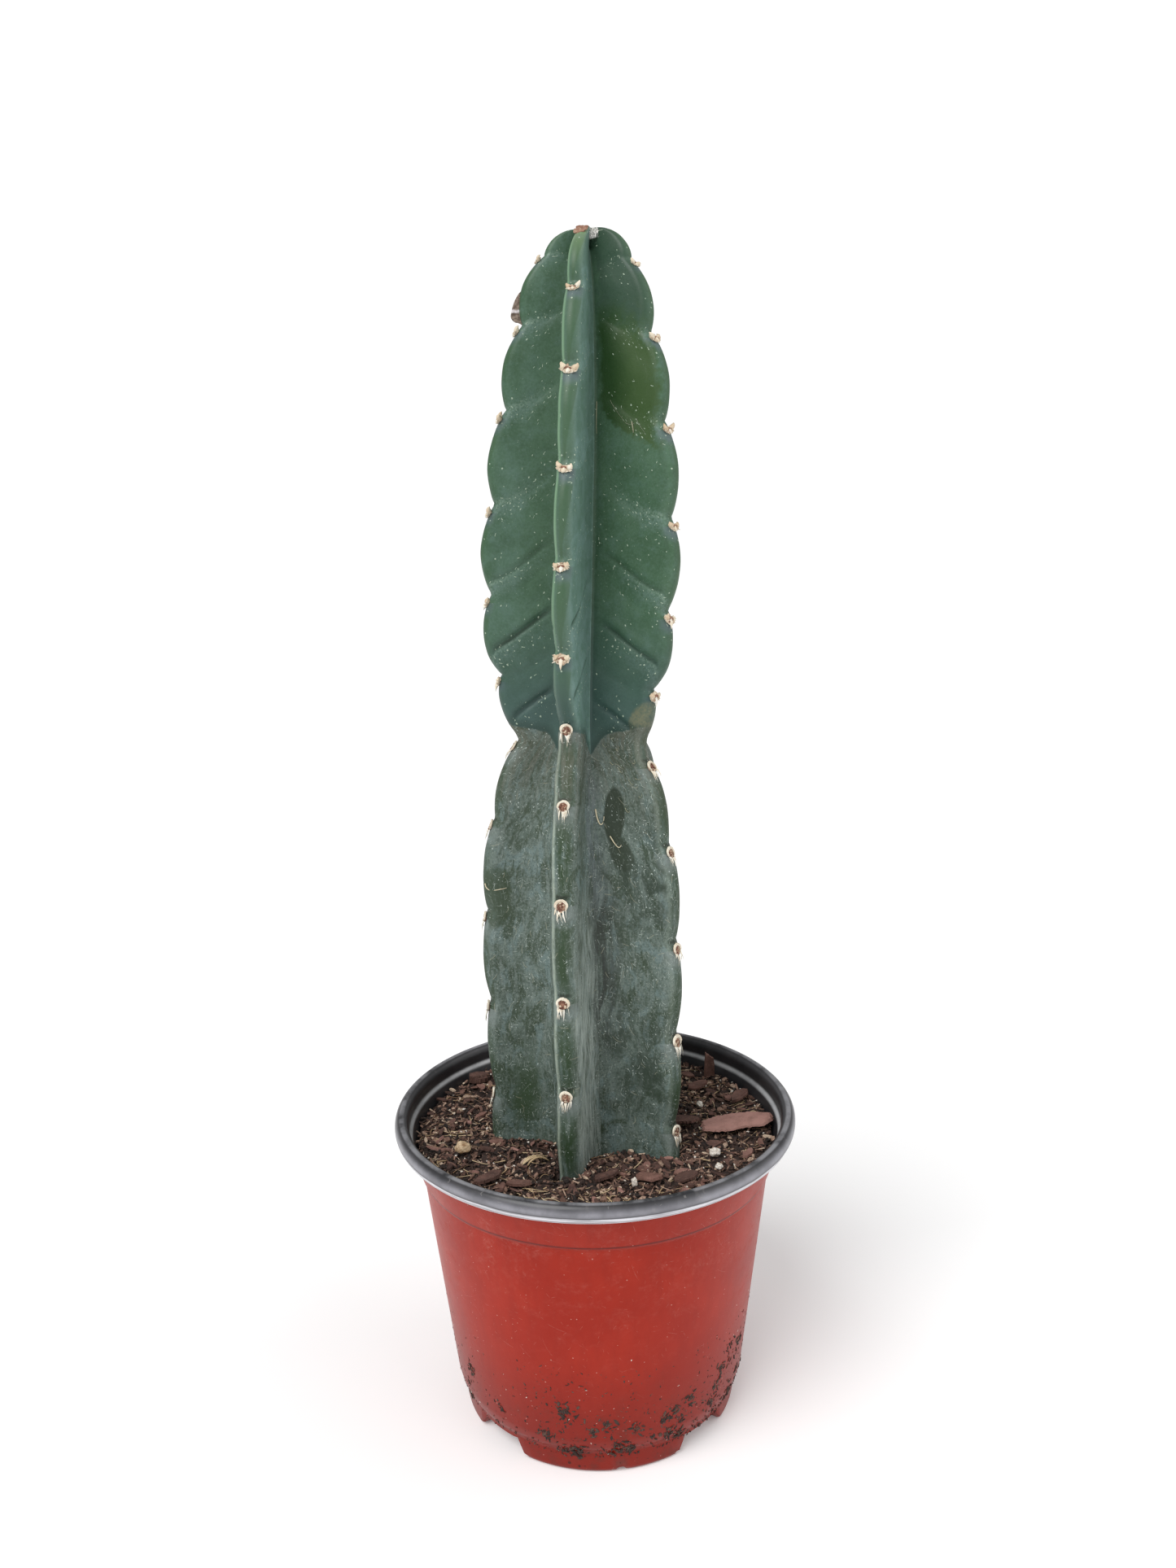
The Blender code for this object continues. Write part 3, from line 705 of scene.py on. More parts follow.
def skin_material():
    """Waxy skin: clean green above the neck, dusty and marked below it."""
    looks = Looks("cactus_skin", IOR=1.42)
    growth = looks.node("UVMap", {"uv_map": "growth"}).outputs[0]
    skin = looks.node("UVMap", {"uv_map": "skin"}).outputs[0]
    around, index, _ = looks.split(growth)
    position = looks.position()
    rib = looks.math("FLOOR", around + 0.5)
    signed = (around - rib) * 2
    across = abs(signed)
    cloud = looks.noise(position, 60, 5, 0.65)
    mottle = looks.noise(position, 220, 4, 0.65)
    fine = looks.noise(position, 1300, 3, 0.6)
    streaks = looks.noise(looks.stretched(skin, 1, 0.13, 1), 480, 4, 0.65)
    on_rib = index - rib * RIB_SHIFT + 10  # 10 keeps it above zero before its whole part is dropped
    climb = index.rise(*CREASE_CLIMB_FADE) * LOW_CREASE_CLIMB + CREASE_CLIMB
    climb = climb * (1 - looks.math("EXPONENT", across * (-1 / CREASE_BEND)))
    notch = looks.math("FRACT", on_rib - NOTCH_OFFSET - climb + 0.5) - 0.5
    places = {
        "around": around, "index": index, "signed": signed, "across": across, "right": signed > 0,
        "front": rib.bump_at(0, 0.5), "phase": looks.math("FRACT", on_rib), "cloud": cloud,
        "mottle": mottle, "fine": fine, "streaks": streaks,
    }
    upper, bloom = upper_skin(looks, notch, **places)
    lower, clean = lower_skin(looks, skin, **places)

    # The old growth's dusty skin ends at an edge that dips into the valleys
    neck_line = index - 4.98 + across * across * 0.65 + (mottle - 0.5) * 0.1
    above = neck_line.rise(-0.02, 0.02)
    neck_shade = neck_line.rise(-0.03, 0.0) * neck_line.rise(0.2, 0.02)
    corky = looks.patch(around, index, (0.94, 5.08), (0.12, 0.26), mottle * 0.7 + 0.15)
    corky = corky * (fine.rise(0.3, 0.6) * 0.5 + 0.5) * (mottle.rise(0.3, 0.6) * 0.6 + 0.3)
    upper = looks.coats(
        upper,
        (index.rise(6.7, 4.9) * (1 - bloom * 0.95) * 0.75, (0.04, 0.082, 0.08)),
        (neck_shade * 0.6, (0.02, 0.045, 0.035)),
        (corky, (0.15, 0.155, 0.09)),
    )

    # White flecks gather below the notches; hairs and dust lie on the old growth
    below = 1 - above
    gather = notch.bump_at(-0.14, 0.3) * across.rise(1.0, 0.5)
    flecks = looks.specks(skin, 430, 0.17, gather * 0.5 + 0.06, "2D")
    dashes = looks.strokes(looks.shifted(skin, 3, 1), 2.6, 1.3, 0.3, gather * 0.4 + 0.06,
                           bend=0.5, turn=0.45, lean=-0.3)
    dots = looks.specks(looks.shifted(skin, 3, 2), 850, 0.13, gather * 0.35 + 0.05, "2D")
    white = looks.most(flecks, dashes, dots * 0.6) * above
    hairs = looks.strokes(skin, 2.6, 2.5, 0.2, 0.5)
    short = looks.strokes(looks.shifted(skin, 1.7, 0.4), 1.5, 1.2, 0.15, 0.5)
    upright = looks.strokes(looks.shifted(skin, 0.9, 0.2), 3.2, 4.6, 0.17, 0.4,
                            bend=0.4, turn=0.12, lean=math.pi / 2)
    long = looks.strokes(looks.shifted(skin, 0.5, 0.8), 7, 4.5, 0.24, 0.35, bend=1.6)
    dusty = mottle.rise(0.35, 0.65) * 0.5 + 0.05
    dust = looks.specks(looks.shifted(skin, 0.3, 2), 620, 0.19, dusty, "2D")
    cluster = looks.noise(position, 130, 3, 0.6).rise(0.42, 0.62) * 0.8 + 0.2
    hair = looks.most(hairs, short * 0.7, upright * 0.6) * below * (1 - clean * 0.45) * cluster
    colour = looks.coats(
        looks.mix(above, lower, upper),
        (white * 0.85, (0.42, 0.52, 0.4)),
        (hair * 0.9, (0.52, 0.59, 0.53)),
        (long * below * 0.6, (0.38, 0.37, 0.27)),
        (dust * below * cluster * 0.85, (0.55, 0.62, 0.58)),
    )
    roughness = 0.4 + above * bloom * 0.12 + below * 0.14 + fine * 0.12
    height = mottle * 0.5 + fine * 0.14 + hair * 0.4 + white * 0.35 + streaks * below * 0.3
    return looks.finish(colour, roughness, height, 0.3 * MM, 0.8)


def upper_skin(looks, notch, around, index, signed, across, right, front, phase, cloud, mottle,
               fine, streaks):
    """Colour of the new growth, and where the pale blue bloom covers it."""
    green = looks.coats(
        looks.mix(cloud.rise(0.3, 0.7), (0.036, 0.088, 0.043), (0.062, 0.13, 0.074)),
        (mottle.rise(0.45, 0.8) * 0.6, (0.08, 0.15, 0.115)),
        (mottle.rise(0.45, 0.2) * 0.55, (0.024, 0.066, 0.03)),
        (fine.rise(0.5, 0.7) * 0.3, (0.095, 0.165, 0.125)),
        (fine.rise(0.5, 0.3) * 0.3, (0.024, 0.06, 0.03)),
    )
    blue = looks.mix(mottle.rise(0.3, 0.7), (0.1, 0.19, 0.15), (0.15, 0.25, 0.225))
    blue = looks.mix(fine.rise(0.4, 0.7) * 0.3, blue, (0.19, 0.28, 0.27))
    hump = (across - 0.42) * 2.6
    dome = looks.math("SQRT", looks.most(1 - hump * hump, 0)) * 0.32
    above_dome = (phase - dome).rise(0.0, 0.05)
    bloom = (1 - above_dome * (index.rise(5.5, 7.5) * 0.35)) * across.rise(0.05, 0.19)
    bloom = bloom * right * front.rise(0.4, 0.6)
    faint = right * (1 - front) * across.rise(0.1, 0.3) * across.rise(0.7, 0.4) * cloud.rise(0.3, 0.7)
    upper = looks.mix(bloom * 0.95 + faint * 0.25, green, blue)

    # Haze below each notch, a painted highlight on the ridge just below it, painted shade in the creases,
    # and painted shade in deep green along the valleys
    wave = (mottle - 0.5) * 0.12
    haze = (notch + wave).bump_at(-0.12, 0.2) * across.rise(0.95, 0.1) * (1 - bloom)
    # painted highlight: a thin light line on the ridge just below each notch
    ridge = (notch + wave * 0.5).bump_at(-0.05, 0.05) * across.rise(0.06, 0.14) * across.rise(0.7, 0.1)
    # painted shade: a dark line in each crease, weaker where the creases are shallow
    groove = notch.bump_at(-0.005, 0.05) * across.rise(0.12, 0.3) * across.rise(0.95, 0.7)
    groove = groove * (index.rise(*CREASE_DEPTH_FADE) * 0.9 + 0.03)
    upper = looks.coats(
        upper,
        (haze * (fine.rise(0.3, 0.75) * 0.7 + 0.2), (0.125, 0.2, 0.17)),
        (ridge * (1 - bloom) * fine.rise(0.35, 0.6) * 0.6, (0.2, 0.29, 0.22)),
        (groove * 0.8, (0.016, 0.04, 0.018)),
        # painted shade along the bottoms of the valleys
        (across.rise(0.88, 1.0) * (1 - bloom) * 0.45, (0.025, 0.06, 0.035)),
    )

    # Crest: a painted highlight along its left edge over lighter green skin, a dark wedge below each
    # areole, and a slate smudge that is partly painted shadow
    wedge = (phase.rise(0.08, 0.85) * 0.17 + 0.015 - signed).rise(0, 0.03) * signed.rise(-0.06, -0.02)
    # partly slate bloom and partly painted shadow just under each areole
    slate_smudge_and_shadow = phase.rise(0.8, 0.93) * across.rise(0.26, 0.1)
    # painted highlight along the crest's left edge, partly lighter green skin
    edge = signed.bump_at(-0.13, 0.065) * (front * 0.9 + 0.08) * (index.rise(5.2, 7.8) * 0.6 + 0.35)
    tip = index.rise(10.2, 11.3) * across.rise(0.3, 0.1) * (front * 0.85 + 0.15)
    shade = (around + (mottle - 0.5) * 0.2).rise(0.5, 0.62) * around.rise(1.02, 0.92)
    upper = looks.coats(
        upper,
        (across.rise(0.22, 0.1) * front * 0.35, (0.095, 0.165, 0.118)),
        (wedge * phase.rise(0.9, 0.8) * 0.6, (0.045, 0.1, 0.045)),
        (slate_smudge_and_shadow * (mottle.rise(0.3, 0.6) * 0.4 + 0.4), (0.085, 0.12, 0.13)),
        (edge, (0.19, 0.33, 0.2)),
        (tip * 0.8, (0.18, 0.28, 0.13)),
        (shade * index.rise(9.3, 9.8) * 0.8, (0.026, 0.06, 0.036)),
    )

    # Olive patch that keeps a deep green beside the valley
    wave = (mottle - 0.5) * 0.3 + (cloud - 0.5) * 0.2
    patch = (around + wave * 0.4).rise(0.51, 0.56) * (around + wave).rise(0.99, 0.84)
    patch = patch * (index + wave * 1.8).rise(8.2, 8.32) * (index + wave * 2).rise(9.95, 9.3)
    olive = looks.mix((around + wave * 0.3).rise(0.58, 0.8), (0.01, 0.042, 0.004), (0.04, 0.082, 0.02))
    wisps = streaks.rise(0.55, 0.75) * (around + wave).bump_at(0.82, 0.1) * index.bump_at(9.2, 0.6)
    upper = looks.coats(upper, (patch * 0.93, olive), (wisps * 0.6, (0.2, 0.25, 0.19)))
    return upper, bloom


def lower_skin(looks, skin, around, index, signed, across, right, front, phase, cloud, mottle,
               fine, streaks):
    """Colour of the old growth, and where the dust is wiped off it."""
    blue_map = looks.stretched(looks.shifted(skin, 2, 5), 1, 0.6, 1)
    clean_map = looks.stretched(looks.shifted(skin, 4, 1), 1, 0.6, 1)
    veil = looks.noise(looks.stretched(skin, 1, 0.6, 1), 120, 6, 0.7, 0.6)
    blue = looks.noise(blue_map, 130, 7, 0.72, 0.8).rise(0.5, 0.6)
    clean = looks.noise(clean_map, 85, 7, 0.72, 0.8).rise(0.54, 0.6)
    wave = (mottle - 0.5) * 0.2
    low_clean = (around + wave).bump_at(4.27, 0.2) * (index + wave * 2.5).bump_at(0.6, 0.6)
    lower = looks.coats(
        looks.mix(veil.rise(0.36, 0.6), (0.046, 0.07, 0.046), (0.12, 0.16, 0.138)),
        (streaks.rise(0.5, 0.7) * 0.6, (0.185, 0.225, 0.205)),
        (blue * 0.75, (0.145, 0.205, 0.198)),
        (clean * 0.8, (0.034, 0.056, 0.03)),
        (fine.rise(0.52, 0.66) * 0.45, (0.21, 0.25, 0.225)),
        (fine.rise(0.48, 0.34) * 0.5, (0.03, 0.045, 0.03)),
        (low_clean * 0.95, (0.032, 0.06, 0.025)),
    )

    # Pale streaks right of the front crest, partly dust and partly painted highlight, then darker and
    # bluish ones beside the valley
    flank = front * right
    thin = looks.noise(looks.stretched(skin, 1, 0.06, 1), 1300, 3, 0.7)
    # partly pale dusty streaks and partly painted highlight on the front rib's right flank
    pale_dust_and_highlight = flank * across.rise(0.04, 0.32) * across.rise(1.1, 0.75) * index.rise(3.3, 1.7)
    pale_dust_and_highlight = pale_dust_and_highlight * (streaks.rise(0.35, 0.62) * 0.45 + thin.rise(0.42, 0.6) * 0.4
                   + veil.rise(0.4, 0.6) * 0.15)
    shade = around.bump_at(0.53, 0.17) * index.rise(0.7, 1.6) * index.rise(3.4, 2.4)
    violet = around.bump_at(0.47, 0.12) * index.rise(2.3, 2.9) * index.rise(4.4, 3.8)
    gloom = (around + wave).rise(0.5, 0.6) * around.rise(1.05, 0.9)
    gloom = gloom * looks.most(index.bump_at(3.2, 1.0), index.bump_at(1.1, 0.8))
    lower = looks.coats(
        lower,
        (pale_dust_and_highlight, (0.41, 0.47, 0.43)),
        (flank * thin.rise(0.5, 0.36) * across.rise(0.1, 0.3) * 0.5, (0.045, 0.058, 0.045)),
        (shade * streaks.rise(0.68, 0.4) * 0.9, (0.032, 0.038, 0.032)),
        (violet * streaks.rise(0.35, 0.6) * 0.6, (0.14, 0.17, 0.185)),
        (gloom * veil.rise(0.62, 0.4) * 0.75, (0.03, 0.046, 0.034)),
    )

    # Crests: dark between the areoles, a painted shadow line above each areole, a painted highlight on
    # the left edge, bloom below each areole
    bare = streaks.rise(0.68, 0.45) * 0.6 + phase.bump_at(0.45, 0.45) * mottle.rise(0.3, 0.5) * 0.6
    # painted shadow: a dark line just above each areole's arch
    arch = phase.bump_at(0.085, 0.035) * across.rise(0.13, 0.05)
    # painted highlight along the crest's left edge
    edge = signed.bump_at(-0.13, 0.06) * (mottle.rise(0.25, 0.6) * 0.55 + 0.25) * (front * 0.8 + 0.2)
    under = phase.rise(0.74, 0.93) * across.rise(0.32, 0.08)
    brown = index.rise(3.4, 4.6) * streaks.rise(0.35, 0.65)

    # A dark oval wiped bare on the right flank, its smear, and a bare patch on the left one
    oval_index, lean = 3.63, 0.085
    upright = around - (index - oval_index) * lean
    oval = looks.patch(upright, index, (0.64, oval_index), (0.07, 0.36), mottle * 0.25 + 0.38)
    smear = looks.patch(upright, index, (0.7, 3.24), (0.08, 0.17), mottle)
    wiped = looks.most(oval, smear * 0.8)
    left = looks.patch(around, index, (4.12, 2.85), (0.1, 0.34), cloud * 1.2 + mottle * 0.8 - 0.5)
    lower = looks.coats(
        lower,
        (signed.bump_at(0.02, 0.2) * bare, (0.028, 0.054, 0.024)),
        (arch * 0.8, (0.012, 0.018, 0.01)),
        (edge, (0.36, 0.43, 0.35)),
        (under * (mottle.rise(0.3, 0.6) * 0.4 + 0.3), (0.2, 0.235, 0.225)),
        (brown * 0.55, (0.105, 0.1, 0.068)),
        (wiped * 0.95, (0.021, 0.033, 0.018)),
        (left * 0.7, (0.034, 0.055, 0.026)),
    )
    return lower, looks.most(clean, wiped * 1.4)


# Areoles, spines and wool -------------------------------------------------------------------

def areole_places():
    """Every areole above the mix: its rib and growth index."""
    for rib in range(RIB_COUNT):
        index = (RIB_SHIFT * rib) % 1
        while index < 10.9:
            if index > 0.3:
                yield rib, index
            index += 1


def crest_frame(rib, index):
    """Matrix at a rib's crest: X across it, Y up along it and Z out of it."""
    here = side_point(index, rib, 1, 0)
    up = (side_point(index + 0.06, rib, 1, 0) - side_point(index - 0.06, rib, 1, 0)).normalized()
    out = direction(RIB_AZIMUTHS[rib] + 90).cross(up).normalized()
    return axes_at(here, up.cross(out), up, out)


def add_tufts(felt, tuft, here, rng, count, arc, width, height, length):
    """Woolly tufts around part of an ellipse, from one angle to another, leaning outwards."""
    for step in range(count):
        angle = math.radians(blend(*arc, (step + rng.uniform(0, 1)) / count))
        root = Vector((math.cos(angle) * width, math.sin(angle) * height, 0.1 * MM))
        out = Vector((math.cos(angle), math.sin(angle), rng.uniform(0.3, 1.1))).normalized()
        size = length * rng.uniform(0.6, 1.2)
        sway = Vector((rng.uniform(-1, 1), rng.uniform(-1, 1), 0)) * 0.3 * size
        path = (root - out * 0.3 * MM, root + out * size * 0.5, root + out * size + sway)
        felt.stamp(tuft, along(path, 0.34 * MM, 0.25, here), rng.uniform(0.72, 1.0))


def add_upper_areole(piles, shapes, crest, index, rng):
    """Ragged cup of felt round a brown hollow, horned when young and with a beak below when old."""
    felt, spines = piles
    pad, tuft, hair = shapes
    age = smooth_step(8.4, 6.2, index)
    size = blend(1.0, 0.75, smooth_step(8.5, 11, index)) * rng.uniform(0.92, 1.08)
    here = crest @ Matrix.Rotation(rng.uniform(-0.2, 0.2), 4, "Z") @ Matrix.Scale(size, 4)
    height = blend(1.2, 1.55, age)
    felt.stamp(pad, here @ scaled(2.3 * MM, height * MM, 0.75 * MM), rng.uniform(0.66, 0.8))
    for _ in range(11):
        angle = rng.uniform(0, math.tau)
        rim = (math.cos(angle) * 1.9, math.sin(angle) * height * 0.75, rng.uniform(0.2, 0.5))
        spot = Matrix.Translation(Vector(rim) * MM)
        turn = Matrix.Rotation(rng.uniform(0, math.pi), 4, "Z")
        lump = scaled(rng.uniform(0.5, 1.0) * MM, rng.uniform(0.3, 0.55) * MM, 0.45 * MM)
        felt.stamp(pad, here @ spot @ turn @ lump, rng.uniform(0.5, 0.95))
    spot = Matrix.Translation(Vector((rng.uniform(-0.5, 0.5), rng.uniform(-0.1, 0.3), 0.62)) * MM)
    hollow = scaled(1.3 * MM, 0.4 * height * MM, 0.35 * MM)
    felt.stamp(pad, here @ spot @ hollow, rng.uniform(0.15, 0.35))
    for arc in ((-35, 40), (140, 215)):
        add_tufts(felt, tuft, here, rng, 11, arc, 2.2 * MM, height * MM, 0.95 * MM)
    add_tufts(felt, tuft, here, rng, 16, (220, 320), 2.0 * MM, height * MM, 0.5 * MM)
    for side in (-1, 1):
        length = blend(2.3, 1.2, age) * MM * rng.uniform(0.75, 1.15)
        root = Vector((side * 1.5 * MM, 0.3 * MM, 0.2 * MM))
        out = Vector((side * rng.uniform(0.6, 1.0), rng.uniform(0.1, 0.5), rng.uniform(0.25, 0.5)))
        out *= length
        curl = Vector((side * rng.uniform(-0.4, 0.2), rng.uniform(0.3, 0.7), -0.1)) * length
        path = (root, root + out * 0.7, root + out + curl * 0.3, root + out * 0.9 + curl)
        spines.stamp(hair, along(path, 1.1 * MM, 0.12, here), rng.uniform(0.6, 0.88))
    drop = blend(0.6, 2.2, smooth_step(7.4, 5.8, index)) * rng.uniform(0.7, 1.2)
    if drop > 1.2:
        below = Matrix.Translation((0, -0.72 * height * MM, 0.6 * MM))
        felt.stamp(pad, here @ below @ scaled(1.2 * MM, 0.3 * MM, 0.35 * MM), rng.uniform(0.05, 0.2))
    tip = (rng.uniform(-0.5, 0.5) * MM, -(height + drop) * MM, 0.6 * MM)
    path = ((0, -0.5 * MM, 0.2 * MM), (0, -height * MM, 0.9 * MM), tip)
    spines.stamp(hair, along(path, 0.95 * MM, 0.08, here), rng.uniform(0.85, 1.0))


def arch_path(side, reach, rng):
    """Control points of a hair that runs from the top of an areole's arch down one side."""
    low = rng.uniform(-42, 5)
    points = []
    for turn, push in ((98, 1), (55, 1.3), (10, 1.3), (low, 0.9)):
        angle = math.radians(turn + rng.uniform(-9, 9))
        away = reach * push * rng.uniform(0.95, 1.05)
        points.append((side * math.cos(angle) * away, math.sin(angle) * away, rng.uniform(0.2, 0.7) * MM))
    return points


def add_lower_areole(piles, shapes, crest, rng):
    """Smooth cream arch over a rough brown centre, with a beard of white hairs below."""
    felt, spines = piles
    pad, _, hair = shapes
    here = crest @ Matrix.Scale(rng.uniform(0.92, 1.08), 4)
    felt.stamp(pad, here @ scaled(2.0 * MM, 1.8 * MM, 0.5 * MM), rng.uniform(0.3, 0.45))
    for _ in range(24):
        down = rng.uniform(-1, 1)
        reach = 1.5 * math.sqrt(1 - down * down) * blend(0.75, 1, (down + 1) / 2)
        spot = Vector((rng.uniform(-1, 1) * reach, down * 1.55 - 0.1, 0.5)) * MM
        lump = scaled(*(rng.uniform(0.22, 0.5) * MM for _ in range(3)))
        tone = rng.uniform(0.0, 0.25) if rng.random() < 0.62 else rng.uniform(0.45, 0.8)
        felt.stamp(pad, here @ Matrix.Translation(spot) @ lump, tone)
    for side in (-1, 1):
        for _ in range(12):
            path = arch_path(side, rng.uniform(1.85, 2.35) * MM, rng)
            place = along(path, rng.uniform(0.26, 0.4) * MM, 0.5, here)
            felt.stamp(hair, place, rng.uniform(0.82, 1.0))
    for lengths, radii in [THICK_BEARD] * 6 + [THIN_BEARD] * 9:
        x = rng.uniform(-2.0, 2.0)
        length = rng.uniform(*lengths) * MM
        root = Vector((x, -1.7 + 0.4 * abs(x), 0.35)) * MM
        end = root + Vector((rng.uniform(-0.35, 0.35) * length, -length, rng.uniform(-0.2, 0.4) * MM))
        bend = root.lerp(end, 0.5) + Vector((rng.uniform(-0.5, 0.5), 0, 0.7)) * MM
        place = along((root, bend, end), rng.uniform(*radii) * MM, 0.25, here)
        spines.stamp(hair, place, rng.uniform(0.88, 1.0))


def make_areoles():
    """Felt pads and spines of every areole."""
    rng = random.Random(11)
    felt, spines = Pile(), Pile()
    shapes = (rough_shape(2, 0.14, 3), strand_shape(4, 1), strand_shape(6, 4))
    for rib, index in areole_places():
        crest = crest_frame(rib, index)
        if index > NECK_INDEX + 0.5:
            add_upper_areole((felt, spines), shapes, crest, index, rng)
        else:
            add_lower_areole((felt, spines), shapes, crest, rng)
    add_piece(felt.bm, "areole_felt", felt_material())
    add_piece(spines.bm, "spines", spine_material())


def felt_material():
    """Felt: tone 0 is brown and 1 cream."""
    looks = Looks("areole_felt")
    tone = looks.uneven_tone(2500, 0.25)
    colour = looks.ramp(tone, (0.0, (0.11, 0.04, 0.026)), (0.3, (0.29, 0.145, 0.095)),
                        (0.6, (0.5, 0.37, 0.26)), (0.85, (0.7, 0.6, 0.46)), (1.0, (0.84, 0.79, 0.67)))
    return looks.finish(colour, 0.85 + tone * 0.05, looks.noise(looks.position(), 3500, 2), 0.15 * MM)


def spine_material():
    """Dry horn: cream to near white, darker in places."""
    looks = Looks("spine", IOR=1.5)
    tone = looks.uneven_tone(700, 0.35)
    colour = looks.ramp(tone, (0.2, (0.25, 0.13, 0.07)), (0.6, (0.58, 0.42, 0.27)),
                        (0.85, (0.76, 0.66, 0.5)), (1.0, (0.86, 0.84, 0.76)))
    return looks.finish(colour, 0.5 + tone * 0.1, looks.noise(looks.position(), 3000, 2), 0.1 * MM)


def skin_point(rib, signed, index, lift):
    """Point just outside the skin, from a rib, a share with its side's sign and a growth index."""
    side = 1 if signed >= 0 else -1
    share = abs(signed)
    here = side_point(index, rib, side, share)
    upward = side_point(index + 0.03, rib, side, share) - here
    inward = (side_point(index, rib, side, min(1, share + 0.03))
              - side_point(index, rib, side, max(0, share - 0.03)))
    out = upward.cross(inward).normalized()
    if out.dot(direction(RIB_AZIMUTHS[rib] + 90 * side)) < 0:
        out = -out
    return here + out * lift


def make_skin_marks():
    """Dry curls, scratches and small scars on the skin."""
    rng = random.Random(31)
    marks = Pile()
    strand = strand_shape(5, 7)
    lines = [*SKIN_CURLS, *SKIN_SCRATCHES]
    for share, index in SCAR_PLACES:
        reach = rng.uniform(0.02, 0.045)
        lines.append((0.13, 1, (share - reach, index + rng.uniform(-0.04, 0.04)),
                      (share - reach / 2, index - 0.05), (share + reach / 2, index - 0.05),
                      (share + reach, index + rng.uniform(-0.02, 0.05))))
    for number, (radius, rib, *spots) in enumerate(lines):
        points = [skin_point(rib, share, index, 0.3 * MM) for share, index in spots]
        tone = rng.uniform(0.8, 1.0) if number < len(SKIN_CURLS) else rng.uniform(0.1, 0.5)
        marks.stamp(strand, along(points, radius * MM, 0.45), tone)
    add_piece(marks.bm, "skin_marks", mark_material())


def mark_material():
    """Scar: tone 0 is grey green and 1 cream."""
    looks = Looks("skin_mark")
    tone = looks.uneven_tone(900, 0.4)
    colour = looks.ramp(tone, (0.0, (0.2, 0.25, 0.18)), (0.5, (0.34, 0.33, 0.22)),
                        (1.0, (0.68, 0.6, 0.42)))
    return looks.finish(colour, 0.7 + tone * 0.1)


def make_flap():
    """Dry brown flap of old skin on the left rib, just above an areole."""
    bm = bmesh.new()
    bmesh.ops.create_grid(bm, x_segments=8, y_segments=24, size=0.5)
    for vert in bm.verts:
        x, y = vert.co.x + 0.5, vert.co.y + 0.5
        crest = crest_frame(4, 9.68 + 0.46 * y)
        reach = 0.9 + 4.3 * (1 - y) ** 0.8 * smooth_step(-0.02, 0.34, y)
        ripple = 0.25 * noise.noise(Vector((y * 6, x * 2, 3)))
        vert.co = crest @ Vector((ripple * MM, 0, (reach * x - 0.9) * MM))
    for vert in thicken(bm):
        vert.co.y += 0.45 * MM
    bmesh.ops.recalc_face_normals(bm, faces=bm.faces)
    add_piece(bm, "dry_flap", flap_material())


def flap_material():
    """Dry skin: brown with a pale line across it."""
    looks = Looks("dry_flap")
    position = looks.position()
    _, _, z = looks.split(position)
    grain = looks.noise(position, 900, 4, 0.7)
    line = (z + (grain - 0.5) * (1.5 * MM)).bump_at(405 * MM, 0.9 * MM)
    colour = looks.mix(grain.rise(0.35, 0.65), (0.1, 0.07, 0.05), (0.32, 0.25, 0.2))
    return looks.finish(looks.mix(line, colour, (0.75, 0.7, 0.72)), 0.75 + grain * 0.1, grain, 0.3 * MM)


def below_top(point):
    """Keep a point of the tip inside the object's height."""
    point.z = min(point.z, TIP_LIMIT)
    return point


def make_tip():
    """White wool at the growing tip and a brown felt cap on the front rib's end."""
    rng = random.Random(5)
    wool, cap = Pile(), Pile()
    hair, lump = strand_shape(4, 5), rough_shape(2, 0.2, 8)
    top = axis_offset(BEND_END) + Vector((2.2 * MM, -2.5 * MM, 427.6 * MM))
    for _ in range(240):
        angle, reach = rng.uniform(0, math.tau), rng.uniform(0.1, 2.6) * MM
        root = top + Vector((math.cos(angle) * reach, math.sin(angle) * reach, -0.5 * MM))
        rise = Vector((0, 0, rng.uniform(1.5, 3.6) * MM))
        curl = Vector((rng.uniform(-2, 2), rng.uniform(-2, 2), 0)) * MM
        end = root + curl + rise
        end.z = min(end.z, WOOL_LIMIT)
        place = along((root, root + rise * 0.7, end), 0.17 * MM, 0.5)
        wool.stamp(hair, lambda point: below_top(place(point)), rng.uniform(0.8, 1.0))
    front = crest_frame(0, 11.22)
    flat = scaled(0.95 * MM, 0.95 * MM, 0.28 * MM)
    for _ in range(18):
        shift = Vector((rng.uniform(-1.7, 1.7), rng.uniform(-1.7, 1.2), rng.uniform(-0.2, -0.1)))
        place = front @ Matrix.Translation(shift * MM) @ flat
        cap.stamp(lump, lambda point: below_top(place @ point), rng.uniform(0.15, 0.5))
    add_piece(wool.bm, "tip_wool", wool_material())
    add_piece(cap.bm, "tip_felt", felt_material())


def wool_material():
    """White wool."""
    looks = Looks("tip_wool")
    tint = looks.noise(looks.position(), 900, 2)
    colour = looks.mix(tint, (0.84, 0.82, 0.77), (0.96, 0.95, 0.93))
    return looks.finish(colour, 0.8 + tint * 0.1)


# Pot ----------------------------------------------------------------------------------------

def rounded(corners, radius, steps=4):
    """A (radius, height) outline whose inner corners become arcs of about the given radius."""
    points = [Vector(corners[0])]
    for before, here, after in zip(corners, corners[1:], corners[2:]):
        before, here, after = Vector(before), Vector(here), Vector(after)
        reach = min(radius, (before - here).length * 0.4, (after - here).length * 0.4)
        start = here + (before - here).normalized() * reach
        end = here + (after - here).normalized() * reach
        for step in range(steps + 1):
            share = step / steps
            points.append(start.lerp(here, share).lerp(here.lerp(end, share), share))
    points.append(Vector(corners[-1]))
    return points


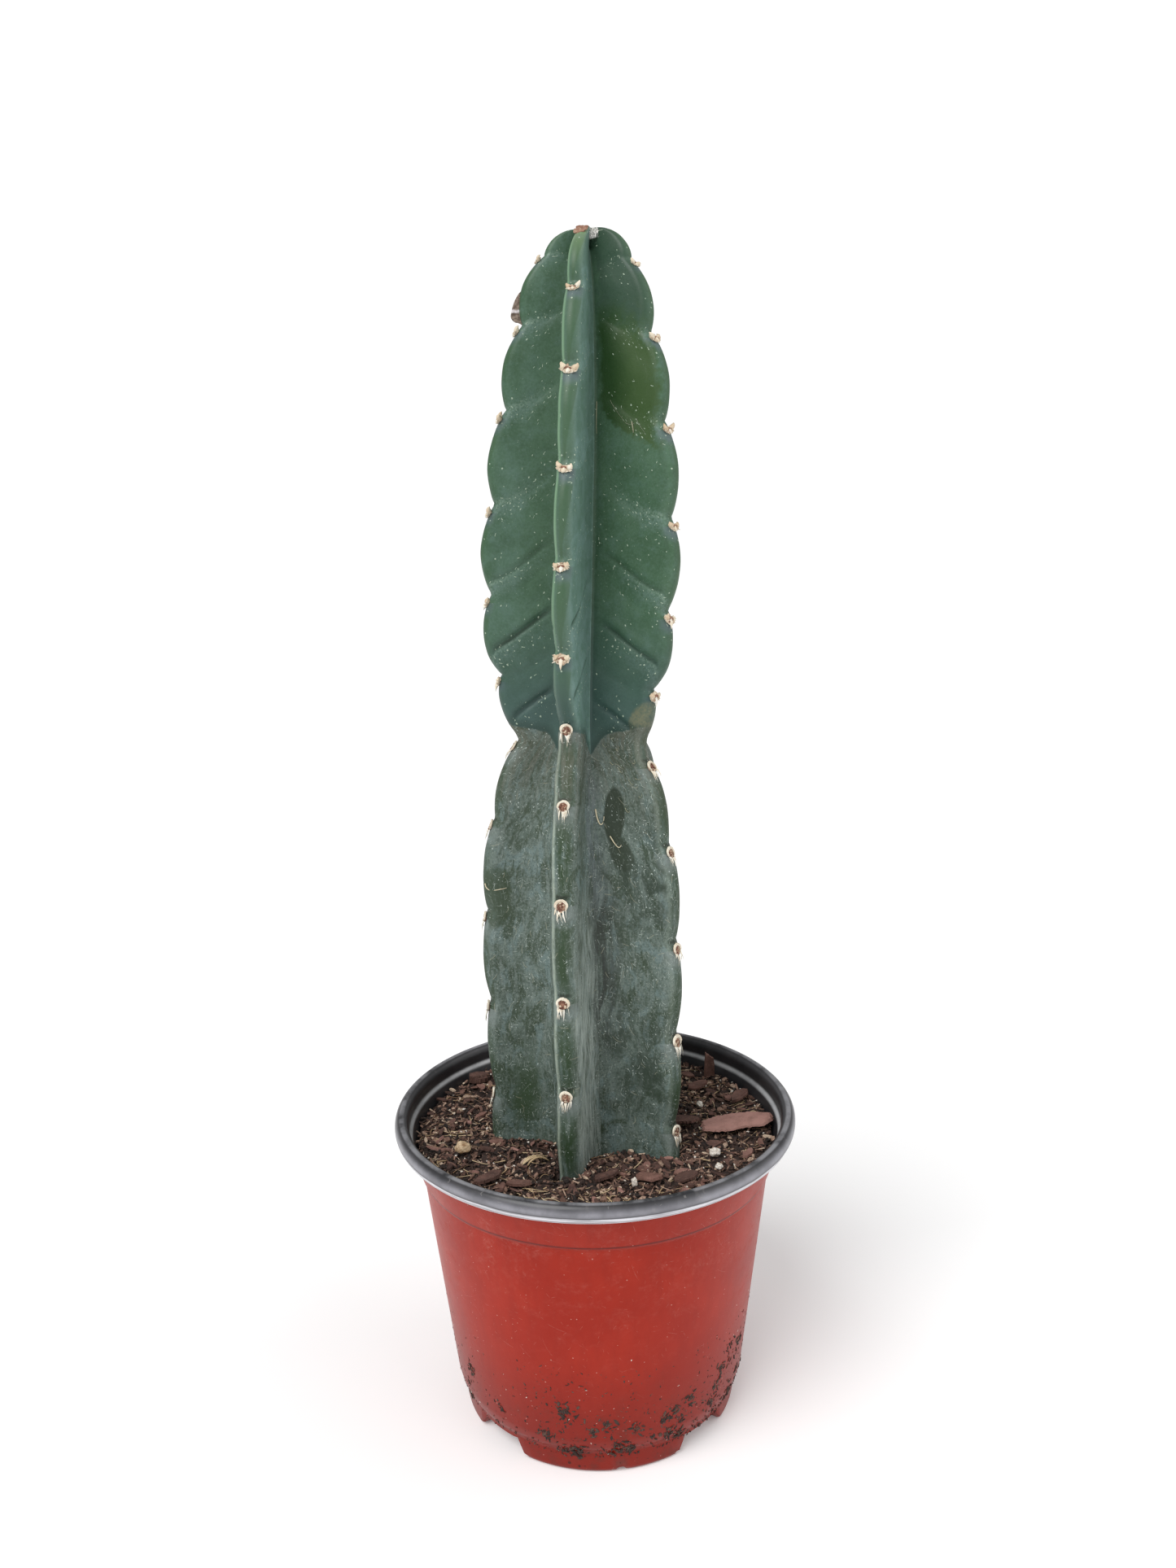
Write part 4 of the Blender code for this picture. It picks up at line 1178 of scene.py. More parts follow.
def pot_profile():
    """Black inner face, from the end of the lip's curl to the middle of the floor."""
    half_width, half_depth = LIP_WIDTH / 2, LIP_DEPTH / 2
    curl = []
    for step in range(CURL_STEPS + 1):
        angle = math.radians(blend(-100, 180, step / CURL_STEPS))
        curl.append((LIP_RADIUS - half_width + half_width * math.cos(angle),
                     POT_HEIGHT - half_depth + half_depth * math.sin(angle)))
    wall = rounded([
        (LIP_RADIUS - LIP_WIDTH, LEDGE_Z + 1.6 * MM),
        (LIP_RADIUS - LIP_WIDTH - 0.1 * MM, LEDGE_Z + 0.3 * MM),
        (LEDGE_RADIUS, LEDGE_Z - 0.2 * MM),
        (LEDGE_RADIUS - 0.5 * MM, LEDGE_Z - 1.8 * MM),
        (SHOULDER_RADIUS + 1.2 * MM, SHOULDER_Z + 1.3 * MM),
        (SHOULDER_RADIUS + 0.1 * MM, SHOULDER_Z + 0.2 * MM),
        (SHOULDER_RADIUS - 0.1 * MM, SHOULDER_Z - 1.6 * MM),
        (CORNER_RADIUS + 0.2 * MM, CORNER_Z + 1 * MM),
        (CORNER_RADIUS - 0.8 * MM, CORNER_Z - 2.4 * MM),
        (CORNER_RADIUS - 2.3 * MM, CORNER_Z - 4.6 * MM),
        (FOOT_OUTER_RADIUS + 0.1 * MM, FLOOR_Z + 0.4 * MM),
        (FOOT_OUTER_RADIUS - 0.3 * MM, WALL_THICKNESS),
        (FOOT_INNER_RADIUS + 0.3 * MM, WALL_THICKNESS),
        (FOOT_INNER_RADIUS - 0.6 * MM, FLOOR_Z),
        (POLE_RADIUS, FLOOR_Z),
    ], 1 * MM)
    floor = [(blend(wall[-1].x, wall[-2].x, share), FLOOR_Z) for share in (0.7, 0.4, 0.2)]
    return curl + [tuple(point) for point in wall[:-1]] + floor + [tuple(wall[-1])]


def off_centre(azimuth, centre):
    """Degrees from an azimuth to the nearest of the places that repeat round the foot from centre."""
    pitch = 360 / ARCH_COUNT
    return abs((azimuth - centre + pitch / 2) % pitch - pitch / 2)


def shape_foot(bm):
    """Lift the foot at its drainage arches and small vents, and dent the wall a little."""
    for vert in bm.verts:
        azimuth = math.degrees(math.atan2(vert.co.x, -vert.co.y))
        arch = off_centre(azimuth, ARCH_AZIMUTH)
        vent = off_centre(azimuth, VENT_AZIMUTH)
        if vert.co.z < FLOOR_Z:
            lift = FLOOR_Z * smooth_step(ARCH_HALF_WIDTH + 2, ARCH_HALF_WIDTH - 5, arch)
            if vent < VENT_HALF_WIDTH and vert.co.xy.length > FOOT_OUTER_RADIUS - 1.6 * MM:
                lift = WALL_THICKNESS + VENT_HEIGHT * (1 - (vent / VENT_HALF_WIDTH) ** 4)
            vert.co.z = max(vert.co.z, lift)
        dent = smooth_step(20 * MM, 40 * MM, vert.co.z) * smooth_step(108 * MM, 90 * MM, vert.co.z)
        sway = noise.noise(Vector((azimuth / 28, vert.co.z * 22, 2)))
        out = Vector((vert.co.x, vert.co.y, 0)).normalized()
        vert.co += out * dent * sway * 0.45 * MM


def drain_rods():
    """Upright rods that cut the holes in the pot's floor."""
    bm = bmesh.new()
    pitch = 360 / ARCH_COUNT
    holes = [(direction(ARCH_AZIMUTH + pitch * turn) * DRAIN_RING_RADIUS, DRAIN_RADIUS)
             for turn in range(ARCH_COUNT)]
    for place, radius in [*holes, (Vector((0, 0, 0)), CENTRE_DRAIN_RADIUS)]:
        rod = bmesh.ops.create_cone(bm, cap_ends=True, segments=32, radius1=radius, radius2=radius,
                                    depth=5 * MM)
        bmesh.ops.translate(bm, verts=rod["verts"], vec=place + Vector((0, 0, FLOOR_Z)))
    return add_object("drains", as_mesh(bm, "drains"))


def make_pot_shell(name, offset, material):
    """One layer of the pot's wall: offset -1 is the black inside and -3 the red outside."""
    bm = turned(pot_profile(), POT_STEPS, 0.003 * MM)
    shape_foot(bm)
    floor = min(bm.faces, key=lambda face: face.calc_center_median().xy.length)
    if floor.normal.z < 0:
        bmesh.ops.reverse_faces(bm, faces=bm.faces)
    piece = add_piece(bm, name, material, ["pot"])
    wall = piece.modifiers.new("wall", "SOLIDIFY")
    wall.thickness = WALL_THICKNESS / 2
    wall.offset = offset
    wall.use_even_offset = True
    rods = drain_rods()
    drains = piece.modifiers.new("drains", "BOOLEAN")
    drains.operation = "DIFFERENCE"
    drains.solver = "EXACT"
    drains.object = rods
    finished = bpy.data.meshes.new_from_object(
        piece.evaluated_get(bpy.context.evaluated_depsgraph_get()))
    piece.modifiers.clear()
    piece.data = finished
    finished.name = name
    finished.shade_smooth()
    finished.set_sharp_from_angle(angle=math.radians(50))
    bpy.data.objects.remove(rods, do_unlink=True)


def red_plastic():
    """Terracotta red plastic with pale scuffs, fine scratches, dust and splashed soil, and painted shade
    at the shoulder step and towards the bottom.
    """
    looks = Looks("pot_red", IOR=1.46, Specular_IOR_Level=0.22)
    position = looks.position()
    x, y, z = looks.split(position)
    wall = looks.unrolled(x, y, z, SHOULDER_RADIUS + 0.3 * MM)
    cloud = looks.noise(position, 35, 4, 0.6)
    fine = looks.noise(position, 600, 4, 0.7)
    grain = looks.noise(looks.stretched(wall, 1, 0.25, 1), 260, 5, 0.7)
    scuffs = looks.noise(looks.stretched(wall, 1, 1.5, 1), 110, 8, 0.8, 0.4).rise(0.48, 0.75)
    scuffs = scuffs * (z.rise(25 * MM, 85 * MM) * 0.8 + 0.2)
    film = looks.noise(looks.shifted(wall, 5, 3), 38, 7, 0.75, 0.5).rise(0.5, 0.72)
    film = film * z.rise(50 * MM, 95 * MM)
    scratches = looks.strokes(wall, 11, 9, 0.12, 0.35, bend=0.4, turn=0.3, lean=-0.5)
    small = looks.strokes(looks.shifted(wall, 0.4, 0.7), 3, 2.2, 0.12, 0.3, bend=0.5)
    short = looks.strokes(looks.shifted(wall, 1.4, 0.2), 1.7, 1.0, 0.13, 0.4, bend=0.5)
    marks = looks.most(scratches * 0.5, small * 0.5, short * film * 0.8)
    marks = marks * (fine.rise(0.35, 0.65) * 0.8 + 0.1)
    # painted shadow: a dark line at the shoulder step
    line = (z + (cloud - 0.5) * (0.6 * MM)).bump_at(SHOULDER_Z + 1.2 * MM, 0.75 * MM)
    dust = looks.specks(position, 520, 0.16, cloud.rise(0.35, 0.65) * 0.4 + 0.04)
    reach = z + (cloud - 0.5) * (60 * MM)
    soil = looks.specks(looks.shifted(position, 1, 0.3), 330, 0.26, 0.32) * reach.rise(42 * MM, 10 * MM)
    grit = looks.specks(looks.shifted(position, 2, 0.3), 800, 0.26, 0.25) * reach.rise(54 * MM, 20 * MM)
    soil = looks.most(soil, grit)
    stain = looks.noise(position, 130, 5, 0.7).rise(0.5, 0.7) * reach.rise(45 * MM, 8 * MM)
    colour = looks.coats(
        looks.mix(cloud.rise(0.3, 0.75), (0.3, 0.013, 0.003), (0.36, 0.02, 0.006)),
        (grain.rise(0.4, 0.7) * 0.35, (0.25, 0.011, 0.003)),
        # painted shade: the red darkens towards the bottom
        (z.rise(60 * MM, 12 * MM) * 0.62, (0.15, 0.008, 0.003)),
        (scuffs * (fine.rise(0.3, 0.7) * 0.5 + 0.1), (0.4, 0.075, 0.055)),
        (film * fine.rise(0.4, 0.65) * 0.45, (0.45, 0.13, 0.1)),
        (marks * (z.rise(20 * MM, 60 * MM) * 0.8 + 0.1), (0.6, 0.33, 0.28)),
        (line * (fine.rise(0.25, 0.5) * 0.3 + 0.6), (0.09, 0.005, 0.002)),
        (dust * 0.5, (0.65, 0.42, 0.36)),
        (soil * 0.8, (0.045, 0.013, 0.009)),
        (stain * 0.5, (0.085, 0.02, 0.012)),
    )
    roughness = 0.3 + scuffs * 0.2 + fine * 0.1 + soil * 0.3
    height = fine * 0.2 + marks * -0.2 + soil * 0.8 + cloud * 0.3 + scuffs * 0.1
    return looks.finish(colour, roughness, height, 0.15 * MM, 0.7)


def black_plastic():
    """Black inside and lip: semi-gloss and dusty, with painted reflections in bands on the lip, a painted
    highlight on its top, and a pale deposit with a painted highlight on the ledge.
    """
    looks = Looks("pot_black", IOR=1.5)
    position = looks.position()
    x, y, z = looks.split(position)
    radius = looks.math("SQRT", x * x + y * y)
    ring = looks.unrolled(x, y, z + radius, LIP_RADIUS - 4 * MM)
    cloud = looks.noise(position, 90, 4, 0.6)
    fine = looks.noise(looks.stretched(ring, 0.25, 1, 1), 700, 3, 0.6)
    streak = looks.noise(looks.stretched(ring, 0.08, 1, 1), 900, 4, 0.6)
    scratches = looks.strokes(ring, 3, 2, 0.12, 0.4, bend=0.2, turn=0.15)
    scuffs = looks.noise(looks.stretched(ring, 0.5, 1.5, 1), 260, 4, 0.7).rise(0.58, 0.75)
    lip = radius.rise(71.2 * MM, 72 * MM)
    outer = radius.rise(72.5 * MM, 74 * MM)
    # partly dust and partly a painted bluish reflection across the lip's face
    lip_reflection_and_dust = z.bump_at(POT_HEIGHT - 3 * MM, 2.6 * MM) * lip
    # painted highlight on the top of the lip's roll
    top_highlight = z.rise(POT_HEIGHT - 0.4 * MM, POT_HEIGHT - 0.05 * MM)
    # pale deposit and a painted highlight on the ledge
    ledge_deposit_and_highlight = z.bump_at(LEDGE_Z, 1.3 * MM) * radius.rise(71.4 * MM, 70.6 * MM)
    ledge_deposit_and_highlight = ledge_deposit_and_highlight * radius.rise(68.8 * MM, 69.4 * MM)
    # painted reflection: silver bands on the lip's lower curl
    under = (z + (cloud - 0.5) * (0.8 * MM)).rise(113.8 * MM, 113.3 * MM) * outer
    colour = looks.coats(
        looks.mix(cloud.rise(0.3, 0.7), (0.018, 0.018, 0.021), (0.036, 0.034, 0.037)),
        (lip_reflection_and_dust * (cloud.rise(0.25, 0.7) * 0.5 + 0.5), (0.285, 0.283, 0.315)),
        (top_highlight * cloud.rise(0.3, 0.6) * 0.7, (0.3, 0.3, 0.32)),
        (looks.most(scratches * 0.3, scuffs * 0.4) * lip, (0.3, 0.28, 0.27)),
        (ledge_deposit_and_highlight * (cloud.rise(0.2, 0.6) * 0.4 + 0.5), (0.5, 0.5, 0.51)),
        # painted reflection: a dark line above the silver band
        (z.bump_at(113.9 * MM, 0.35 * MM) * outer * 0.6, (0.05, 0.048, 0.052)),
        (under * (streak.rise(0.35, 0.6) * 0.5 + 0.45), (0.75, 0.75, 0.8)),
        # painted reflection: a dark line between two silver lines
        (z.bump_at(112.15 * MM, 0.3 * MM) * under * 0.7, (0.08, 0.075, 0.08)),
    )
    roughness = 0.3 + cloud * 0.1 + ledge_deposit_and_highlight * 0.25 + scuffs * lip * 0.15
    return looks.finish(colour, roughness, fine * 0.5 + scratches * -0.3 + cloud * 0.3, 0.1 * MM, 0.5)


def wall_radius(height):
    """Outer radius of the pot's wall at a height."""
    if height < CORNER_Z:
        share = max(0, (height - FLOOR_Z) / (CORNER_Z - FLOOR_Z)) ** 0.6
        return blend(FOOT_OUTER_RADIUS, CORNER_RADIUS, share) + WALL_THICKNESS
    share = (height - CORNER_Z) / (SHOULDER_Z - CORNER_Z)
    return blend(CORNER_RADIUS, SHOULDER_RADIUS, share) + WALL_THICKNESS


def add_fleck(pile, rng, shapes, azimuth, height, size, tone):
    """One flat fleck on the outside of the pot's wall."""
    out = direction(azimuth)
    place = out * (wall_radius(height) + 0.05 * MM) + Vector((0, 0, height))
    here = axes_at(place, direction(azimuth + 90), Vector((0, 0, 1)), out)
    spin = Matrix.Rotation(rng.uniform(0, math.tau), 4, "Z")
    stretch = scaled(size * rng.uniform(0.9, 2.2), size * rng.uniform(0.4, 0.9),
                     min(0.5 * size, 0.35 * MM))
    pile.stamp(rng.choice(shapes), here @ spin @ stretch, tone)


def make_splashes():
    """Flecks of mix and pale grit stuck to the lower part of the wall."""
    rng = random.Random(21)
    soil, grit = Pile(), Pile()
    shapes = [rough_shape(1, 0.35, seed) for seed in range(6)]
    clusters = []
    for start, end, top, count in ((-22, 34, 32, 20), (30, 66, 36, 14), (70, 330, 28, 26)):
        clusters += [(rng.uniform(start, end), rng.uniform(9, top)) for _ in range(count)]
    for azimuth, height in clusters:
        spread = rng.uniform(0.8, 2.2)
        for _ in range(rng.randint(9, 20)):
            spot = (azimuth + rng.gauss(0, spread), max(6.5, height + rng.gauss(0, spread)) * MM)
            size = rng.uniform(0.2, 0.85) * MM
            add_fleck(soil, rng, shapes, *spot, size, rng.uniform(0.12, 0.46))
    for start, end, count in ((-30, 75, 620), (75, 330, 420)):
        for _ in range(count):
            height = (7 + 40 * rng.random() ** 1.8) * MM
            size = rng.uniform(0.14, 0.42) * MM
            add_fleck(soil, rng, shapes, rng.uniform(start, end), height, size, rng.uniform(0.1, 0.45))
    for _ in range(110):
        height = (8 + 45 * rng.random() ** 1.5) * MM
        add_fleck(grit, rng, shapes, rng.uniform(-40, 320), height, rng.uniform(0.12, 0.3) * MM, 0.9)
    add_piece(soil.bm, "soil_splashes", crumb_material("soil_splash"))
    add_piece(grit.bm, "pale_specks", perlite_material())


# Potting mix --------------------------------------------------------------------------------

def stem_outline():
    """Radius of the stem at the mix's surface for each degree around its axis."""
    axis = axis_offset(MIX_Z)
    spots = []
    for rib in range(RIB_COUNT):
        for side in (-1, 1):
            for step in range(OUTLINE_STEPS + 1):
                point = side_point(MIX_INDEX, rib, side, step / OUTLINE_STEPS) - axis
                spots.append((math.degrees(math.atan2(point.x, -point.y)) % 360, point.xy.length))
    spots.sort()
    return [min(spots, key=lambda spot: abs((spot[0] - degree + 180) % 360 - 180))[1]
            for degree in range(360)]


STEM_OUTLINE = stem_outline()


def stem_clearance(x, y):
    """How far a point lies outside the stem, along its ray from the stem's axis."""
    axis = axis_offset(MIX_Z)
    dx, dy = x - axis.x, y - axis.y
    azimuth = math.degrees(math.atan2(dx, -dy)) % 360
    low = int(azimuth) % 360
    edge = blend(STEM_OUTLINE[low], STEM_OUTLINE[(low + 1) % 360], azimuth % 1)
    return math.hypot(dx, dy) - edge


def mix_height(x, y):
    """Height of the mix's surface: higher at the wall, lower at the stem, with lumps."""
    rise = MIX_EDGE_RISE * smooth_step(46 * MM, 67 * MM, math.hypot(x, y))
    lumps = noise.noise(Vector((x, y, 0)) * 90) * 1.1 + noise.noise(Vector((x, y, 1)) * 230) * 0.5
    dip = 1.2 * MM * smooth_step(3 * MM, 0, stem_clearance(x, y))
    gap = math.hypot((x - GAP_PLACE.x) / GAP_REACH.x, (y - GAP_PLACE.y) / GAP_REACH.y)
    return MIX_Z - 0.6 * MM + rise + lumps * MM - dip - GAP_DEPTH * smooth_step(1, 0, gap)


def make_mix():
    """Body of the mix, closed below, with a fine uneven top."""
    profile = [(POLE_RADIUS, FLOOR_Z + 0.6 * MM), (FOOT_OUTER_RADIUS - 2 * MM, FLOOR_Z + 0.6 * MM),
               (CORNER_RADIUS - 1.5 * MM, CORNER_Z), (SHOULDER_RADIUS - 1 * MM, SHOULDER_Z - 1 * MM),
               (SHOULDER_RADIUS + 0.2 * MM, SHOULDER_Z + 1.5 * MM), (MIX_RADIUS, MIX_Z)]
    for step in range(MIX_RINGS + 1):
        profile.append((MIX_RADIUS * (1 - step / MIX_RINGS) + POLE_RADIUS, MIX_Z + 1 * MM))
    bm = turned(profile, 200, 0.1 * MM)
    for vert in bm.verts:
        if vert.co.z > MIX_Z + 0.5 * MM:
            vert.co.z = mix_height(vert.co.x, vert.co.y)
    bmesh.ops.recalc_face_normals(bm, faces=bm.faces)
    add_piece(bm, "mix_body", crumb_material("mix_body", loose=False), ["potting_mix"])


def crumb_material(name, loose=True):
    """Bark and peat: tone 0 is near black, 0.5 brown and 1 tan; loose crumbs have tones of their own."""
    looks = Looks(name)
    position = looks.position()
    tone = looks.attribute("tone") if loose else looks.noise(position, 300, 4, 0.7) * 0.4
    grain = looks.noise(position, 1400, 3, 0.6)
    tone = tone + (looks.noise(position, 500, 3, 0.6) - 0.5) * 0.35
    colour = looks.coats(
        looks.ramp(tone, (0.0, (0.009, 0.005, 0.004)), (0.3, (0.04, 0.02, 0.014)),
                   (0.52, (0.135, 0.068, 0.048)), (0.75, (0.33, 0.2, 0.145)), (1.0, (0.72, 0.57, 0.42))),
        (grain.rise(0.45, 0.75) * 0.45, (0.015, 0.009, 0.007)),
        (grain.rise(0.42, 0.25) * 0.35, (0.4, 0.28, 0.22)),
    )
    return looks.finish(colour, 0.78 + grain * 0.15, grain, 0.5 * MM, 0.8)


def scatter(rng, count, clearance):
    """Random spots on the mix, clear of the stem."""
    found = 0
    while found < count:
        radius = MIX_RADIUS * rng.random() ** 0.5
        angle = rng.uniform(0, math.tau)
        x, y = radius * math.cos(angle), radius * math.sin(angle)
        if stem_clearance(x, y) > clearance:
            found += 1
            yield x, y


def lying(rng, x, y, lift, tilt):
    """Matrix of a piece that lies on the mix with a random heading and tilt."""
    place = Matrix.Translation((x, y, mix_height(x, y) + lift))
    turn = Matrix.Rotation(rng.uniform(0, math.tau), 4, "Z")
    roll = Matrix.Rotation(rng.gauss(0, tilt), 4, "X")
    pitch = Matrix.Rotation(rng.gauss(0, tilt), 4, "Y")
    return place @ turn @ roll @ pitch


def strew(pile, rng, shapes, spots, length, width, thickness, lift, tilt, tone, slender=False):
    """Lay flat bits on the mix: ranges are in mm, but width is a share of length unless slender."""
    for x, y in spots:
        long = rng.uniform(*length) * MM
        wide = rng.uniform(*width) * (MM if slender else long)
        stretch = scaled(long, wide, rng.uniform(*thickness) * MM)
        place = lying(rng, x, y, rng.uniform(*lift) * MM, tilt) @ stretch
        pile.stamp(rng.choice(shapes), place, rng.betavariate(*tone))


def make_bits():
    """Loose bark bits and crumbs that cover the mix, with small chips and white specks among them."""
    rng = random.Random(42)
    flakes = [jagged_flake_shape(seed) for seed in range(10)]
    splinters = [splinter_shape(taper) for taper in (0.6, 0.35, 0.8)]
    crumbs = [rough_shape(1, 0.3, seed) for seed in range(5)]
    bits, chips, specks = Pile(), Pile(), Pile()
    for x, y in scatter(rng, 2600, -0.8 * MM):
        size = rng.uniform(0.3, 0.85) * MM
        stretch = scaled(size * rng.uniform(0.8, 2.0), size, size * rng.uniform(0.5, 1))
        crumb = rng.choice(crumbs)
        bits.stamp(crumb, lying(rng, x, y, 0.2 * MM, 0.6) @ stretch, rng.betavariate(1.2, 1.8))
    strew(bits, rng, flakes, scatter(rng, 2600, -0.5 * MM), (1.4, 4.2), (0.28, 0.7), (0.25, 0.7),
          (-0.1, 0.9), 0.38, (1.0, 1.6))
    strew(bits, rng, splinters, scatter(rng, 1700, -0.3 * MM), (1.5, 4.5), (0.2, 0.6), (0.15, 0.4),
          (0.1, 1.1), 0.5, (1.2, 1.1), slender=True)
    strew(chips, rng, flakes, scatter(rng, 150, 2 * MM), (3.5, 8), (0.3, 0.6), (0.4, 0.9),
          (0.4, 1.2), 0.25, (1.1, 1.9))
    for x, y in scatter(rng, 260, 0.3 * MM):
        size = rng.uniform(0.15, 0.5) * MM
        stretch = scaled(size * rng.uniform(0.8, 1.8), size, size * rng.uniform(0.6, 1))
        specks.stamp(rng.choice(crumbs), lying(rng, x, y, 1.0 * MM, 0.5) @ stretch, 0.8)
    add_piece(bits.bm, "bark_bits", crumb_material("bark_bits"), sharp=20)
    add_piece(chips.bm, "small_chips", bark_material("small_chips"), sharp=20)
    add_piece(specks.bm, "perlite_specks", perlite_material())


def make_straws():
    """Dry stalks and root fibres on the mix."""
    rng = random.Random(77)
    strand = strand_shape(5, 8)
    straws = Pile()
    spots = list(scatter(rng, 330, 1.0 * MM))
    spots += [(rng.gauss(4, 14) * MM, rng.gauss(-58, 4) * MM) for _ in range(60)]
    for x, y in spots:
        length = rng.uniform(3, 11) * MM
        heading = rng.uniform(0, math.tau)
        step = Vector((math.cos(heading), math.sin(heading), 0)) * length / 3
        side = Vector((-step.y, step.x, 0))
        points = [Vector((x, y, 0)) + step * place + side * rng.uniform(-0.35, 0.35)
                  for place in (-1.5, -0.5, 0.5, 1.5)]
        if any(point.xy.length > MIX_RADIUS or stem_clearance(point.x, point.y) < 0.2 * MM
               for point in points):
            continue
        for point in points:
            point.z = mix_height(point.x, point.y) + rng.uniform(0.3, 1.5) * MM
        place = along(points, rng.uniform(0.08, 0.27) * MM, rng.uniform(0.3, 0.8))
        straws.stamp(strand, place, rng.uniform(0.3, 1.1))

    # Curled husk beside the stem
    for _ in range(9):
        start = Vector((rng.uniform(-27, -24), rng.uniform(-26, -24), 0)) * MM
        end = start + Vector((rng.uniform(5, 8), rng.uniform(3, 6), 0)) * MM
        points = [start, start.lerp(end, 0.3), start.lerp(end, 0.7), end]
        for point, lift in zip(points, (0.3, rng.uniform(2, 4), rng.uniform(2, 4), 0.6)):
            point.z = mix_height(point.x, point.y) + lift * MM
        straws.stamp(strand, along(points, rng.uniform(0.22, 0.4) * MM, 0.6), rng.uniform(0.85, 1.1))
    add_piece(straws.bm, "straws", straw_material())


def straw_material():
    """Dry stalk: tone 0 is brown and 1 straw yellow."""
    looks = Looks("straw")
    tone = looks.uneven_tone(600, 0.4, 3)
    colour = looks.ramp(tone, (0.1, (0.08, 0.04, 0.02)), (0.5, (0.24, 0.14, 0.08)),
                        (0.9, (0.5, 0.36, 0.2)), (1.0, (0.6, 0.46, 0.28)))
    return looks.finish(colour, 0.6 + tone * 0.15, looks.noise(looks.position(), 2500, 2), 0.1 * MM)


def bark_material(name):
    """Bark chip: reddish brown with a fine grain; tone 0 is dark and 1 pinkish."""
    looks = Looks(name)
    position = looks.position()
    grain = looks.noise(looks.stretched(position, 0.7, 1.3, 1), 1100, 5, 0.7)
    cloud = looks.noise(position, 260, 4, 0.6) * 0.5 + looks.attribute("tone") * 0.5
    colour = looks.coats(
        looks.ramp(cloud, (0.25, (0.05, 0.022, 0.016)), (0.5, (0.16, 0.078, 0.058)),
                   (0.75, (0.34, 0.178, 0.148))),
        (grain.rise(0.55, 0.75) * 0.4, (0.46, 0.3, 0.24)),
        (grain.rise(0.42, 0.25) * 0.5, (0.035, 0.016, 0.012)),
    )
    return looks.finish(colour, 0.72 + grain * 0.15, grain + cloud * 0.3, 0.3 * MM, 0.8)


def set_tone(bm, tone):
    """Give a whole piece one tone."""
    layer = bm.verts.layers.float.new("tone")
    for vert in bm.verts:
        vert[layer] = tone


def straight_outline(knots, place):
    """Half width of a chip at a place from -1 to 1 along it, straight between its corners."""
    before, after = knots[0], knots[-1]
    for start, end in zip(knots, knots[1:]):
        if start[0] <= place <= end[0]:
            before, after = start, end
    return blend(before[1], after[1], (place - before[0]) / (after[0] - before[0]))


def chip_side(rng):
    """Corners along one side of a chip: a place from end to end, and its share of the half width."""
    middle = [(blend(-0.75, 0.75, (step + rng.uniform(0.2, 0.8)) / 4), rng.uniform(0.78, 1.05))
              for step in range(4)]
    return [(-1.01, rng.uniform(0.15, 0.6)), *middle, (1.01, rng.uniform(0.1, 0.5))]


def make_chip(name, material, seed):
    """A flat plate of bark with straight broken edges, lying where its node lies."""
    length, width, thickness, heading, tilt = CHIPS[name]
    rng = random.Random(seed + 60)
    sides = [chip_side(rng) for _ in range(2)]
    slant = rng.uniform(-0.22, 0.22)
    bm = bmesh.new()
    bmesh.ops.create_grid(bm, x_segments=44, y_segments=14, size=0.5)
    for vert in bm.verts:
        x, y = vert.co.x * 2, vert.co.y * 2
        edge = math.copysign(2, y)
        half = width / 2 * straight_outline(sides[y > 0], x)
        half *= 1 + 0.16 * noise.noise(Vector((x * 9, seed, edge)))
        half *= 1 + 0.1 * noise.noise(Vector((x * 30, seed, edge)))
        warp = noise.noise(Vector((x * 0.9, y * 0.6, seed))) * 0.3
        end = 1 + 0.14 * noise.noise(Vector((y * 4, seed, math.copysign(3, x))))
        reach = (x * end + slant * y * width / length) * length / 2
        vert.co = Vector((reach, y * half, warp)) * MM
    ridge = Vector((rng.uniform(-0.4, 0.4), 1, 0)) * rng.choice((-1, 1))
    for vert in thicken(bm, 0.05):
        across = vert.co.dot(ridge) / MM + 0.8 * noise.noise(Vector((vert.co.x * 300, seed, 0)))
        layer = 0.26 * smooth_step(0.24, 0.3, across / width)
        vert.co.z += thickness * (0.7 - layer) * MM
    bmesh.ops.recalc_face_normals(bm, faces=bm.faces)
    for vert in bm.verts:
        vert.co += noise.noise_vector(vert.co * 900 + Vector((seed, 0, 0))) * 0.04 * MM
    turn = Matrix.Rotation(math.radians(heading), 3, "Z") @ Matrix.Rotation(math.radians(-tilt), 3, "Y")
    bmesh.ops.rotate(bm, verts=bm.verts, cent=(0, 0, 0), matrix=turn)
    settle(bm, name)
    set_tone(bm, 0.95 if name == "bark_chip_large" else rng.uniform(0.1, 0.5))
    add_piece(bm, name + "_bark", material, [name], sharp=28)


def make_upright_chip(material):
    """The splinter of bark that stands planted in the mix."""
    low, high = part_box("bark_chip_upright")
    size, centre = high - low, (low + high) / 2
    bm = bmesh.new()
    bmesh.ops.create_grid(bm, x_segments=14, y_segments=34, size=0.5)
    for vert in bm.verts:
        x, y = vert.co.x * 2, vert.co.y + 0.5
        top = 1 - 0.1 * (x + 1) * smooth_step(0.6, 1, y) + 0.05 * noise.noise(Vector((x * 3, 0, 7)))
        side = math.copysign(1, x)
        half = size.x / 2 * (0.95 - 0.28 * y + 0.1 * noise.noise(Vector((y * 4, 3, side))))
        bow = 0.5 * math.cos(x * 1.4) + 0.4 * noise.noise(Vector((x, y * 3, 4)))
        vert.co = Vector((x * half, bow * MM, y * top * size.z))
    for vert in thicken(bm, 0.05):
        vert.co.y -= 1.4 * MM
    bmesh.ops.recalc_face_normals(bm, faces=bm.faces)
    set_tone(bm, 0.4)
    bmesh.ops.translate(bm, verts=bm.verts, vec=(centre.x, centre.y + 0.7 * MM, low.z))
    add_piece(bm, "upright_bark", material, ["bark_chip_upright"], sharp=28)


